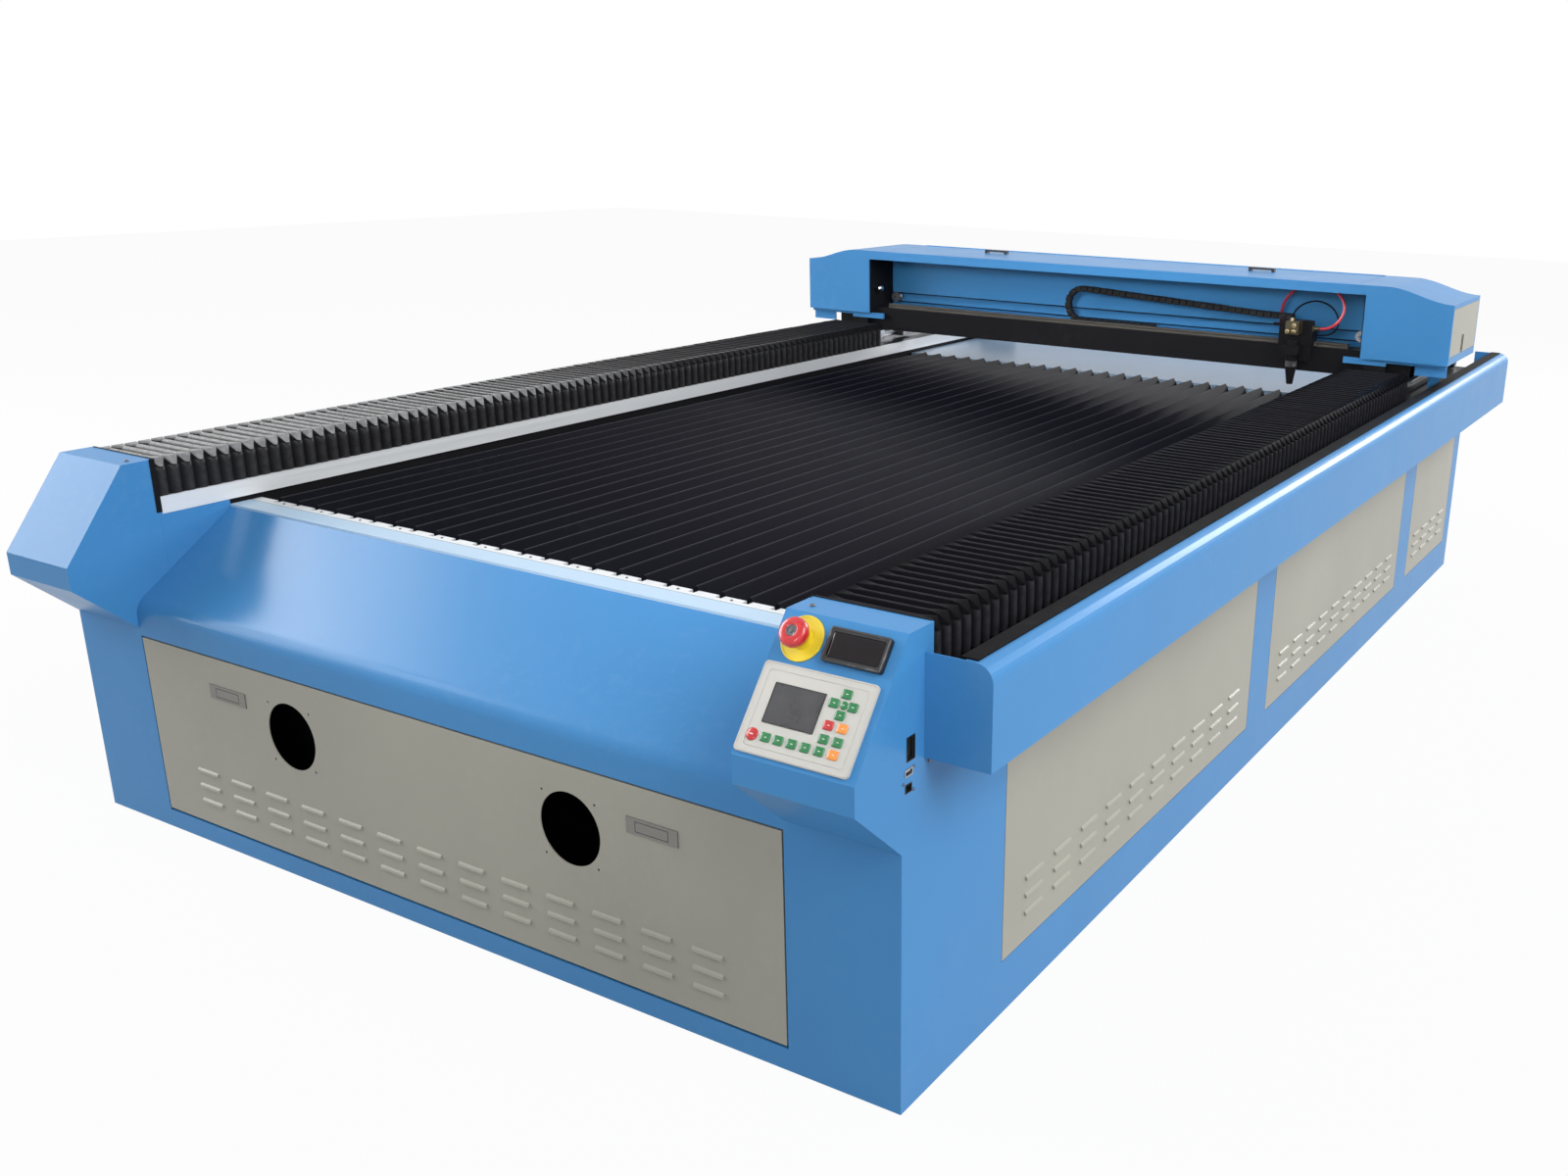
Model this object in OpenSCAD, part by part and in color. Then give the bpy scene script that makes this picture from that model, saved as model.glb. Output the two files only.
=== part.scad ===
/* [Body] */
// Width across the side walls
body_w = 1800; // [1700:10:2000]
// Length from the front plane to the back of the rear wall
body_len = 3130; // [2600:10:3700]
// Distance of the walls' tops below the rail beams' tops
wall_drop = 12; // [6:1:27]
// Thickness of the side and rear walls
wall_t = 4; // [3:0.5:6]
// Thickness of bent sheet metal
sheet = 3; // [2:0.5:4]
// Side of the square frame tubes
tube = 60; // [50:5:80]

/* [Front cabinet and door] */
// Depth of the front cabinet
cabinet_d = 190; // [160:5:240]
// Height of the front cabinet, where the consoles start
cabinet_h = 392; // [326:2:466]
// Distance of the front door from the body's sides
door_side = 190; // [150:5:240]
// Distance of the door's upper edge below the cabinet's top
door_drop = 17; // [12:1:30]
// Height of the door's lower edge above the floor
door_z = 40; // [30:1:45]
// Running gap round the door
door_gap = 3; // [2:0.5:5]
// Gap below the door, where its lower edge swings
door_gap_low = 5; // [4.5:0.5:8]
// Thickness of the door's skin
door_skin = 2; // [1.5:0.5:3]
// Depth of the door's folded rim
door_rim = 16; // [14:1:22]
// Distance of the door's pivot from its face and its lower edge
pivot_in = 8; // [7:0.5:9]
// Radius of the door's pivot pins
pivot_r = 4; // [3:0.5:5]
// Radius of the fan openings
fan_r = 60; // [40:1:70]
// Distance of each fan opening's middle from the door's side edge
fan_in = 392; // [320:1:440]
// Distance of the fan openings' middles below the door's upper edge
fan_drop = 103; // [90:1:112]
// Spacing of the fan screws
fan_pitch = 105; // [100:1:115]
// Radius of the fan screw holes
fan_hole_r = 2.2; // [1.5:0.1:3]

/* [Latches] */
// Distance of each door latch's middle from the door's side edge
latch_in = 230; // [150:5:270]
// Distance of the door latches below the door's upper edge
latch_drop = 63; // [50:1:75]
// Length of a latch plate
latch_w = 96; // [84:1:110]
// Height of a latch plate
latch_h = 26; // [19:1:30]
// Clearance round a latch paddle
latch_gap = 1; // [0.5:0.1:1.5]

/* [Louvers and side panels] */
// Length of a louver
louver_l = 56; // [40:1:70]
// Height of a louver
louver_h = 8; // [6:1:16]
// How far a louver stands out
louver_out = 4; // [3:0.5:8]
// Spacing of the louvers along a panel
louver_pitch = 95.5; // [90:0.5:120]
// Spacing of the louver rows
louver_row = 30; // [24:1:40]
// Length of a long side panel over the short rear one
panel_ratio = 2.333; // [2:0.001:2.6]
// Distance from the last side panel to the body's back
panel_last = 68; // [66:1:110]
// Distance from the cabinet's back to the first side panel
panel_first = 88; // [84:1:130]
// Width of wall between side panels
panel_between = 117; // [100:1:135]
// Distance of the side panels' upper edge below the walls' tops
panel_drop = 129; // [110:1:160]
// Height of the side panels' lower edge
panel_z = 91; // [80:1:120]
// Thickness of a side panel
panel_t = 2; // [1:0.5:2.5]

/* [Consoles] */
// Width of each console
console_w = 185; // [183:1:220]
// How far the consoles stand out in front
console_out = 104; // [80:1:110]
// Height of the console lip's underside above the cabinet
lip_up = 95; // [80:1:105]
// Height of the console lip
lip_h = 41; // [30:1:50]
// Height of the consoles above the cabinet
console_h = 293; // [275:1:310]
// Where the slanted face meets the console top
slant_y = 16; // [10:1:30]
// Where the console top ends
console_back = 73; // [60:1:74]

/* [Apron] */
// Height above the cabinet at which the apron starts to bend
bend_up = 23; // [18:1:35]
// Radius of the apron's bend
bend_r = 38; // [20:1:60]
// Slope of the apron in degrees
apron_slope = 33.5; // [30:0.5:35]
// Where the apron's slope ends
apron_top_y = 206; // [200:1:212]

/* [Bed] */
// Number of slats
slat_count = 26; // [10:1:27]
// Room left on the bed beside the slats
slat_margin = 56; // [40:1:120]
// Width of a slat's foot
slat_w = 26; // [16:1:32]
// Height of a slat
slat_h = 26; // [18:1:30]
// Height of the slats' edges above the apron's top
slat_up = 10.2; // [7:0.1:12]
// Distance of the slats' back ends from the body's back
slat_rear = 550; // [500:10:700]
// Width of the front strip of the bed
strip_d = 66; // [58:1:90]
// Width of a notch in the front strip
notch_w = 12; // [6:1:16]
// Depth of a notch in the front strip
notch_d = 12; // [6:1:14]
// Thickness of the aluminium strips and the rear table
strip_t = 4; // [3:0.5:5]

/* [Rails and bellows] */
// Width of the rail beams
beam_w = 173; // [172:0.5:174]
// Height of the rail beams' tops above the slats' edges
beam_up = 30; // [27:1:34]
// Height of the rail beams
rail_beam_h = 120; // [100:5:140]
// Wall of the rail beams
rail_beam_wall = 6; // [4:1:8]
// Distance of each long rail's middle from its side wall
rail_in = 88; // [84:1:94]
// Width of the long rails
rail_w = 28; // [20:1:30]
// Height of the long rails
rail_h = 28; // [24:1:30]
// Height of the bellows above the rail beams
bellows_up = 72; // [68:1:80]
// Number of folds in each of the bellows
fold_count = 92; // [40:1:100]
// Depth of a fold
fold_depth = 12; // [6:1:14]
// Thickness of the bellows' material
bellows_t = 1.2; // [0.8:0.2:2]
// Height of the side strips of the bed
side_strip_h = 31; // [28:1:36]

/* [Cable trough] */
// Width of the cable trough
trough_w = 98; // [96:1:110]
// Distance of the trough's floor below the rail beams' tops
trough_drop = 104; // [100:1:112]
// Height of the trough
trough_h = 143; // [138:1:148]
// Where the trough starts
trough_y = 52; // [40:1:80]
// How far the trough passes the rear wall
trough_over = 72; // [0:1:90]
// Radius of the trough's rolled edge
trough_r = 25; // [15:1:26]

/* [Gantry] */
// Distance of the parked gantry's front from the body's back
park_d = 717; // [680:1:780]
// Depth of the gantry
gantry_d = 298; // [280:1:320]
// Distance of the end boxes' inner faces from the body's sides
box_inset = 134; // [125:1:140]
// Width of an end box
box_w = 224; // [190:1:260]
// Height of the end boxes' underside above the rail beams
box_up = 101; // [96:1:104]
// Height of the gantry's hood and end boxes
gantry_h = 187; // [156:1:220]
// How far the end boxes' tops sweep down to the outside
box_drop = 35; // [20:1:50]
// Height of the hood's front lip
hood_lip = 25; // [15:1:40]
// Distance of the inner back panel behind the front
back_in = 130; // [126:1:140]
// Depth of the cross beam
xbeam_d = 60; // [56:1:62]
// Height of the cross beam
xbeam_h = 66; // [60:1:70]
// Wall of the cross beam
xbeam_wall = 5; // [3:1:8]

/* [Head] */
// Distance of the parked head from the hood's right end
head_in = 178; // [165:1:240]
// Radius of the lens tube
lens_r = 14; // [10:0.5:15]
// Height of the nozzle's tip above the rail beams
nozzle_up = 18; // [10:1:28]
// Height of the lens tube's top above the rail beams
lens_up = 136; // [132:1:138]
// Radius of the air hose
hose_r = 4; // [3:0.5:5]

/* [Controls] */
// Width of the keypad
keypad_w = 172; // [150:1:173]
// Height of the keypad
keypad_h = 120; // [110:1:121]
// Radius of the stop button's head
stop_r = 20; // [14:0.5:22]
// Radius of the stop button's stem
stop_stem = 8.7; // [6:0.1:9]
// Travel of the stop button
stop_travel = 4; // [2:0.5:5]
// Running clearance of shafts and sliding pieces
clear = 0.3; // [0.1:0.05:0.4]

/* [Hidden] */
$fn = 48;

half_w = body_w / 2;
seam = 1.5;
weld = 0.5;
inner_x = half_w - wall_t;
beam_in = inner_x - beam_w;
rail_x = inner_x - rail_in;
// The body's blue, the panels' beige and the plain metals
blue = [0.36, 0.6, 0.86];
beige = [0.72, 0.7, 0.64];
silver = [0.8, 0.82, 0.84];
dark = [0.1, 0.1, 0.11];

// Door
door_w = body_w - 2 * door_side;
door_h = cabinet_h - door_z - door_drop;
fan_x = door_w / 2 - fan_in;
fan_z = door_z + door_h - fan_drop;
latch_x = door_w / 2 - latch_in;
latch_z = door_z + door_h - latch_drop;
door_louver_z = door_z + 0.3 * door_h;

// Slanted console face
lip_z = cabinet_h + lip_up;
console_z = cabinet_h + console_h;
slant_rise = console_z - lip_z - lip_h;
slant_run = console_out + slant_y;
slant_a = atan2(slant_rise, slant_run);
slant_l = norm([slant_run, slant_rise]);
console_x = half_w - console_w / 2;
controls_v = slant_l - 35;
stop_x = console_x - 52;
meter_x = console_x + 32;
keypad_x = console_x - 5;
keypad_v = 6 + keypad_h / 2;

// Apron
bend_z = cabinet_h + bend_up;
bend_turn = 90 - apron_slope;
bend_end = [bend_r * (1 - cos(bend_turn)), bend_z + bend_r * sin(bend_turn)];
apron_top_z = bend_end[1] + (apron_top_y - bend_end[0]) * tan(apron_slope);

// Bed
bed_half = beam_in - 6;
slat_pitch = (2 * bed_half - slat_margin) / slat_count;
slat_top = apron_top_z + slat_up;
slat_back = body_len - slat_rear;
beam_top = slat_top + beam_up;
wall_h = beam_top - wall_drop;
slat_base = slat_top - slat_h;
strip_back = apron_top_y + strip_d;
slat_front = strip_back + 1.5;
apron_flange = strip_d - notch_d - 4;
crossbar_h = 30;
crossbar_t = 40;
table_z = slat_top - 7;
table_back = body_len - wall_t - 20;

// Side panels, and the frame's stations between them
panel_h = wall_h - panel_drop - panel_z;
panel_run = body_len - cabinet_d - panel_first - panel_last - 2 * panel_between;
panel_l = panel_run * panel_ratio / (2 * panel_ratio + 1);
panel_short = panel_run - 2 * panel_l;
panel_y = [cabinet_d + panel_first, cabinet_d + panel_first + panel_l + panel_between,
  cabinet_d + panel_first + 2 * (panel_l + panel_between)];
panel_len = [panel_l, panel_l, panel_short];
stations = [cabinet_d, panel_y[1] - (panel_between + tube) / 2, panel_y[2] - (panel_between + tube) / 2,
  body_len - wall_t - tube];
bar_first = strip_back + 10;
bar_stations = concat([for (i = [0 : 4]) bar_first + (slat_back - bar_first) * i / 4],
  [table_back - crossbar_t / 2]);

// Long axis
gantry_y = body_len - park_d;
carriage_h = 43;
carriage_top = beam_top + carriage_h;
foot_t = 8;
belt_x = inner_x - 36;
belt_w = 16;
belt_t = 1.6;
long_pulley_r = 14;
long_pulley_z = beam_top + 20;
idler_y = console_back + 37;
shaft_y = body_len - 50;
shaft_r = 8;
bellows_z = beam_top + bellows_up;
bellows_y0 = console_back + 3;
bellows_y1 = gantry_y - clear;
bellows_z0 = side_strip_z() + side_strip_h + clear;
rail_y0 = idler_y + 20;
strip_end = shaft_y - 60;
axle_r = 5;
function side_strip_z() = beam_top - 27;

// Cable trough and its chain
trough_z = beam_top - trough_drop;
trough_rim = trough_z + trough_h;
trough_t = 2.5;
trough_chain_l = 850;
chain_h = 20;
chain_r = 30;

// Gantry
box_in = half_w - box_inset;
box_out = box_in + box_w;
box_z = beam_top + box_up;
box_top = box_z + gantry_h;
box_low = box_top - box_drop;
gantry_back = gantry_y + gantry_d;
xbeam_y = gantry_y + 27;
xbeam_z = carriage_top + foot_t;
xbeam_top = xbeam_z + xbeam_h;
xbeam_half = inner_x - 6;
back_y = gantry_y + back_in;
hood_half = box_in - 3;
cover_t = 2;
cross_rail_w = 15;
cross_rail_h = 12;
cross_rail_y = xbeam_y + 20;
cross_pulley_r = 12;
cross_pulley_x = hood_half - 28;
cross_pulley_z = xbeam_top + 26;
cross_belt_y = back_y - 25;
cross_belt_w = 12;
lid_half = hood_half - 28;
lid_y0 = gantry_y + 30;
lid_y1 = gantry_back - 8;
lid_pin_r = 4;
lid_gap = 2;
lid_pivot = [lid_y1 - lid_pin_r, box_top - sheet + 1];
tube_r = 40;
tube_y = (back_y + gantry_back) / 2;
tube_z = box_z + 0.48 * gantry_h;
tube_half = hood_half - 143;

// Head
head_x = hood_half - head_in;
nozzle_z = beam_top + nozzle_up;
lens_top = beam_top + lens_up;
head_w = 90;
head_plate_y = gantry_y + 11;
lens_y = head_plate_y - lens_r - 1;

// Box given by its lowest and highest corners
module slab(low, high) {
  translate(low) cube(high - low);
}

// Moves the front plane's frame to the middle of the footprint
module place() {
  translate([0, -body_len / 2, 0]) children();
}

// Draws a shape and its mirror image across the middle
module both() {
  children();
  mirror([1, 0, 0]) children();
}

// Extrudes a (y, z) outline along X from x0 to x1
module along_x(x0, x1) {
  translate([x0, 0, 0]) rotate([90, 0, 90]) linear_extrude(x1 - x0) children();
}

// Extrudes an (x, z) outline along Y from y0 to y1
module along_y(y0, y1) {
  translate([0, y1, 0]) rotate([90, 0, 0]) linear_extrude(y1 - y0) children();
}

// Cylinder along X, from x0 to x1, centred on (y, z)
module rod_x(x0, x1, y, z, r) {
  translate([x0, y, z]) rotate([0, 90, 0]) cylinder(h = x1 - x0, r = r);
}

// Cylinder along Y, from y0 to y1, centred on (x, z)
module rod_y(y0, y1, x, z, r) {
  translate([x, y1, z]) rotate([90, 0, 0]) cylinder(h = y1 - y0, r = r);
}

// Frame on a console's slanted face: X to the right, Y up the slope, Z out of the face
module on_slant(x, v) {
  translate([x, -console_out, lip_z + lip_h]) rotate([slant_a, 0, 0]) translate([0, v, 0]) children();
}

// Square with round corners
module round_rect(w, h, r) {
  square([w, h - 2 * r], center = true);
  square([w - 2 * r, h], center = true);
  for (sx = [-1, 1], sy = [-1, 1]) translate([sx * (w / 2 - r), sy * (h / 2 - r)]) circle(r);
}

// Stadium outline round two pulleys of radius r at distance l
module stadium(l, r) {
  square([l, 2 * r], center = true);
  for (s = [-1, 1]) translate([s * l / 2, 0]) circle(r);
}

function unit(v) = v / norm(v);
function left_of(v) = [-v[1], v[0]];
// Mitred offset of an open path to its left
function offset_path(p, d) = [for (i = [0 : len(p) - 1])
  let (a = unit(i == 0 ? p[1] - p[0] : p[i] - p[i - 1]),
       b = unit(i == len(p) - 1 ? p[i] - p[i - 1] : p[i + 1] - p[i]),
       m = left_of(a) + left_of(b))
  p[i] + m * (2 * d / (m * m))];
function reverse(p) = [for (i = [len(p) - 1 : -1 : 0]) p[i]];
// Sheet of thickness d on the left of a path
module bent_sheet(p, d) {
  polygon(concat(p, reverse(offset_path(p, d))));
}
function arc(c, r, a0, a1, n) = [for (i = [0 : n]) let (a = a0 + (a1 - a0) * i / n) c + r * [cos(a), sin(a)]];

// Pressed louver on a face in the XY plane, open along its lower edge
module louver() {
  translate([-louver_l / 2, 0, 0]) rotate([90, 0, 90]) linear_extrude(louver_l)
    polygon([[0, 0], [louver_h, 0], [louver_h * 0.6, louver_out * 0.75], [louver_h * 0.15, louver_out]]);
}

module louver_rows(cols, z_top) {
  for (row = [0 : 2], i = [0 : cols - 1])
    translate([(i - (cols - 1) / 2) * louver_pitch, z_top - row * louver_row, 0]) louver();
}

// Welded tube frame with the bars that carry the slats
module base_frame() {
  side = inner_x - tube;
  color(dark) place() {
    both() slab([side, cabinet_d, 0], [inner_x, body_len - wall_t, tube]);
    for (y = concat(stations, [(body_len - tube) / 2]))
      slab([-side + weld, y, 0], [side - weld, y + tube, tube]);
    both() for (y = stations)
      slab([side, y, tube + weld], [inner_x, y + tube, beam_top - rail_beam_h - weld]);
    for (y = bar_stations) slab([-beam_in + weld, y - crossbar_t / 2, slat_base - crossbar_h],
      [beam_in - weld, y + crossbar_t / 2, slat_base]);
  }
}

// Folded front cabinet with the door's opening and its jambs
module front_cabinet() {
  open_x = door_w / 2 + door_gap;
  open_z0 = door_z - door_gap_low;
  open_z1 = door_z + door_h + door_gap;
  jamb_d = door_rim + 8;
  color(blue) place() difference() {
    union() {
      difference() {
        slab([-half_w, 0, 0], [half_w, cabinet_d, cabinet_h]);
        slab([-half_w + sheet, sheet, -1], [half_w - sheet, cabinet_d + 1, cabinet_h + 1]);
      }
      slab([-open_x - sheet, 0, open_z0 - sheet], [open_x + sheet, jamb_d, open_z1 + sheet]);
    }
    slab([-open_x, -1, open_z0], [open_x, cabinet_d, open_z1]);
    rod_x(-open_x - 2 * sheet, open_x + 2 * sheet, pivot_in, door_z + pivot_in, pivot_r + clear);
  }
}

// Bent sheet between the consoles, from the door up to the bed
module apron() {
  side = half_w - console_w - clear;
  path = concat([[0, cabinet_h]], arc([bend_r, bend_z], bend_r, 180, 180 - bend_turn, 8),
    [[apron_top_y, apron_top_z], [apron_top_y + apron_flange, apron_top_z]]);
  color(blue) place() along_x(-side, side) bent_sheet(path, -sheet);
}

function console_path() = [[0, cabinet_h], [-console_out, lip_z], [-console_out, lip_z + lip_h],
  [slant_y, console_z], [console_back, console_z], [console_back, cabinet_h]];

function apron_z(y) = apron_top_z - (apron_top_y - y) * tan(apron_slope);

// Console shell with its two side plates, the outer one carried back to the side wall and the inner one along
// the apron's end up to the side strip
module console_shell() {
  inside = offset_path(console_path(), -sheet);
  cheek = [console_back + weld, apron_top_y - clear, side_strip_z() - clear];
  tuck = 12;
  along_x(half_w - console_w, half_w - console_w + sheet) polygon([[cheek[0], apron_z(cheek[0]) - tuck],
    [cheek[1], apron_z(cheek[1]) - tuck], [cheek[1], cheek[2]], [cheek[0], cheek[2]]]);
  slab([half_w - sheet, console_back - sheet, cabinet_h], [half_w, cabinet_d, wall_h]);
  difference() {
    along_x(half_w - console_w, half_w) polygon(console_path());
    along_x(half_w - console_w + sheet, half_w - sheet)
      polygon(concat(inside, [inside[5] - [0, 9], inside[0] - [0, 9]]));
  }
}

module console_left() {
  color(blue) place() mirror([1, 0, 0]) union() console_shell();
}

// Ports in the outer side plate of the right console: y, z, width and height
ports = [[20, 533, 18, 32], [15, 502, 16, 8], [15, 480, 14, 11]];

module console_right() {
  color(blue) place() difference() {
    console_shell();
    on_slant(stop_x, controls_v) cylinder(h = 60, r = stop_stem + 2, center = true);
    on_slant(meter_x, controls_v) cube([78, 34, 20], center = true);
    on_slant(keypad_x, keypad_v) cube([keypad_w - 20, keypad_h - 20, 20], center = true);
    for (p = ports) translate([half_w, p[0], p[1]]) cube([4 * sheet, p[2], p[3]], center = true);
  }
}

// Side wall on the right, with a shallow seat and a window for each panel
module side_wall() {
  seat_lip = 15;
  difference() {
    slab([inner_x, cabinet_d, 0], [half_w, body_len, wall_h]);
    for (i = [0 : 2]) {
      slab([half_w - panel_t, panel_y[i] - seam, panel_z - seam],
        [half_w + 1, panel_y[i] + panel_len[i] + seam, panel_z + panel_h + seam]);
      slab([inner_x - 1, panel_y[i] + seat_lip, panel_z + seat_lip],
        [half_w, panel_y[i] + panel_len[i] - seat_lip, panel_z + panel_h - seat_lip]);
    }
  }
}

module wall_right() {
  color(blue) place() side_wall();
}

module wall_left() {
  color(blue) place() mirror([1, 0, 0]) side_wall();
}

module rear_wall() {
  color(blue) place() slab([-inner_x, body_len - wall_t, 0], [inner_x, body_len, wall_h]);
}

// The three louvered panels of the right side, flush in their seats
module side_panels() {
  for (i = [0 : 2]) {
    cols = floor((panel_len[i] - 40) / louver_pitch);
    slab([half_w - panel_t, panel_y[i], panel_z], [half_w, panel_y[i] + panel_len[i], panel_z + panel_h]);
    translate([half_w, panel_y[i] + panel_len[i] / 2, 0]) rotate([90, 0, 90])
      louver_rows(cols, panel_z + 104);
  }
}

module panels_right() {
  color(beige) place() side_panels();
}

module panels_left() {
  color(beige) place() mirror([1, 0, 0]) side_panels();
}

// Open trough with a rolled outer edge and two end plates
module cable_trough() {
  out_x = half_w + trough_w;
  end_y = body_len + trough_over;
  roll = arc([out_x - trough_r, trough_rim - trough_r], trough_r, 0, 90, 8);
  path = concat([[half_w, wall_h - 8], [half_w, trough_z], [out_x, trough_z]], roll,
    [[out_x - trough_r - 16, trough_rim]]);
  outline = concat([[half_w, trough_rim], [half_w, trough_z], [out_x, trough_z]], roll);
  color(blue) place() {
    union() {
      along_y(trough_y, end_y) bent_sheet(path, trough_t);
      along_y(trough_y, trough_y + trough_t) polygon(outline);
      along_y(end_y - trough_t, end_y) polygon(outline);
    }
  }
}

// Rubber strip along the trough's rolled edge
module trough_strip() {
  edge = half_w + trough_w - trough_r;
  color(dark) place() slab([edge - 25, trough_y + 6, trough_rim],
    [edge, body_len + trough_over - 6, trough_rim + 2.5]);
}

// Chain in the trough from its fixed end to the bracket below the gantry
module trough_chain() {
  low = trough_z + trough_t + chain_h;
  bend_y = gantry_y + 260;
  path = concat([[gantry_y - trough_chain_l, low]], [for (i = [0 : 8]) let (a = -90 + 180 * i / 8)
    [bend_y + chain_r * cos(a), low + chain_r + chain_r * sin(a)]], [[chain_arm_y() + 4, low + 2 * chain_r]]);
  color(dark) place() along_x(half_w + 12, half_w + 42) bent_sheet(path, -chain_h);
}
function chain_arm_y() = gantry_y + 150;
function chain_top() = trough_z + trough_t + 2 * chain_h + 2 * chain_r;

// Aluminium strips round the bed: a notched one in front and one along each rail beam
module bed_strips() {
  color(silver) place() {
    translate([0, 0, apron_top_z]) linear_extrude(strip_t) difference() {
      translate([-bed_half, apron_top_y]) square([2 * bed_half, strip_d]);
      for (i = [0 : slat_count - 1])
        translate([(i - (slat_count - 1) / 2) * slat_pitch - notch_w / 2, strip_back - notch_d])
          square([notch_w, notch_d + 1]);
    }
    both() slab([bed_half, bellows_y0, side_strip_z()], [beam_in, strip_end, side_strip_z() + side_strip_h]);
  }
}

// Blade slats that run from behind the front strip to the rear table
module slats() {
  edge = 1.5;
  color(dark) place() for (i = [0 : slat_count - 1])
    translate([(i - (slat_count - 1) / 2) * slat_pitch, 0, slat_base]) along_y(slat_front, slat_back)
      polygon([[-slat_w / 2, 0], [slat_w / 2, 0], [slat_w / 2, 3], [edge, slat_h], [-edge, slat_h],
        [-slat_w / 2, 3]]);
}

// Plate behind the slats with a folded front edge
module rear_table() {
  color([0.86, 0.9, 0.95]) place() union() {
    slab([-bed_half, slat_back + 2, table_z - strip_t], [bed_half, table_back, table_z]);
    slab([-bed_half, slat_back + 2, slat_base], [bed_half, slat_back + 2 + strip_t, table_z]);
    slab([-bed_half, table_back - strip_t, slat_base], [bed_half, table_back, table_z]);
  }
}

// Flat tray below the bed that catches what falls through
module scrap_tray() {
  tray_x = inner_x - tube - 20;
  tray_y0 = stations[0] + tube / 2;
  tray_y1 = stations[3] + tube / 2;
  color(dark) place() slab([-tray_x, tray_y0, tube], [tray_x, tray_y1, tube + sheet]);
}

// Two box beams that carry the long rails, with the shaft's bearing blocks and the idlers' axles
module rail_beams() {
  bearing = [shaft_r + 12, 20];
  color(blue) place() both() {
    difference() {
      union() {
        slab([beam_in, bellows_y0, beam_top - rail_beam_h], [inner_x, body_len - wall_t, beam_top]);
        slab([rail_x - bearing[1], shaft_y - bearing[0], beam_top],
          [rail_x, shaft_y + bearing[0], long_pulley_z + bearing[0]]);
        for (x = [belt_x - belt_w / 2 - 9, belt_x + belt_w / 2 + 4])
          slab([x, idler_y - 9, beam_top], [x + 5, idler_y + 9, long_pulley_z + 9]);
        rod_x(belt_x - belt_w / 2 - 9, belt_x + belt_w / 2 + 9, idler_y, long_pulley_z, axle_r);
      }
      slab([beam_in + rail_beam_wall, bellows_y0 - 1, beam_top - rail_beam_h + rail_beam_wall],
        [inner_x - rail_beam_wall, body_len, beam_top - rail_beam_wall]);
      rod_x(rail_x - 2 * bearing[1], rail_x + bearing[1], shaft_y, long_pulley_z, shaft_r + 0.05);
    }
  }
}

// Waisted section of a guide rail, w wide and h high
module rail_section(w, h) {
  polygon([[-w / 2, 0], [w / 2, 0], [w / 2, h * 0.4], [w * 0.36, h * 0.55], [w / 2, h * 0.72], [w / 2, h],
    [-w / 2, h], [-w / 2, h * 0.72], [-w * 0.36, h * 0.55], [-w / 2, h * 0.4]]);
}

module long_rails() {
  color(silver) place() both() translate([rail_x, 0, beam_top]) along_y(rail_y0, shaft_y - 40)
    rail_section(rail_w, rail_h);
}

// Pleated cover over a rail: rings of an inverted U that step in and out by the fold's depth
module bellows_right_side() {
  x0 = bed_half;
  x1 = half_w;
  n = 2 * fold_count;
  ring = function (i) let (d = i % 2 == 0 ? 0 : fold_depth, t = bellows_t,
      y = bellows_y0 + (bellows_y1 - bellows_y0) * i / n, z0 = bellows_z0, z1 = bellows_z - d)
    [[x0 + d, y, z0], [x0 + d, y, z1], [x1 - d, y, z1], [x1 - d, y, z0],
     [x1 - d - t, y, z0], [x1 - d - t, y, z1 - t], [x0 + d + t, y, z1 - t], [x0 + d + t, y, z0]];
  points = [for (i = [0 : n]) each ring(i)];
  walls = [for (i = [0 : n - 1], k = [0 : 7]) let (j = (k + 1) % 8)
    [8 * i + k, 8 * i + j, 8 * i + 8 + j, 8 * i + 8 + k]];
  caps = [for (f = [[7, 6, 1, 0], [6, 5, 2, 1], [5, 4, 3, 2]]) f];
  ends = [for (f = caps) [for (k = reverse(f)) 8 * n + k]];
  polyhedron(points, concat(caps, walls, ends));
}

module bellows_right() {
  color(dark) place() bellows_right_side();
}

module bellows_left() {
  color(dark) place() mirror([1, 0, 0]) bellows_right_side();
}

// Controller's face plate
module keypad() {
  color(beige) place() on_slant(keypad_x, keypad_v) {
    linear_extrude(3) round_rect(keypad_w, keypad_h, 6);
    translate([0, 0, -18]) linear_extrude(18) square([keypad_w - 24, keypad_h - 24], center = true);
  }
}

// Keys of the controller's membrane: place in shares of the face and colour
key_green = [0.05, 0.42, 0.2];
key_red = [0.8, 0.1, 0.12];
key_amber = [0.93, 0.55, 0.15];
square_keys = [
  [0.764, 0.166, key_green], [0.684, 0.283, key_green], [0.845, 0.286, key_green], [0.767, 0.396, key_green],
  [0.705, 0.52, key_red], [0.824, 0.52, key_amber], [0.705, 0.668, key_green], [0.824, 0.668, key_green],
  [0.238, 0.8, key_green], [0.35, 0.8, key_green], [0.467, 0.8, key_green], [0.585, 0.8, key_green],
  [0.705, 0.8, key_green], [0.824, 0.8, key_amber]];
round_keys = [[0.771, 0.285, key_green, 5.6], [0.118, 0.8, key_red, 8.5]];
key_size = [14.4, 12.2, 2.2];

module keypad_keys() {
  key_t = 1.2;
  place() on_slant(keypad_x, keypad_v) {
    for (k = square_keys) color(k[2]) translate([(k[0] - 0.5) * keypad_w, (0.5 - k[1]) * keypad_h, 3])
      linear_extrude(key_t) round_rect(key_size[0], key_size[1], key_size[2]);
    for (k = round_keys) color(k[2]) translate([(k[0] - 0.5) * keypad_w, (0.5 - k[1]) * keypad_h, 3])
      cylinder(h = key_t, r = k[3]);
  }
}

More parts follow.
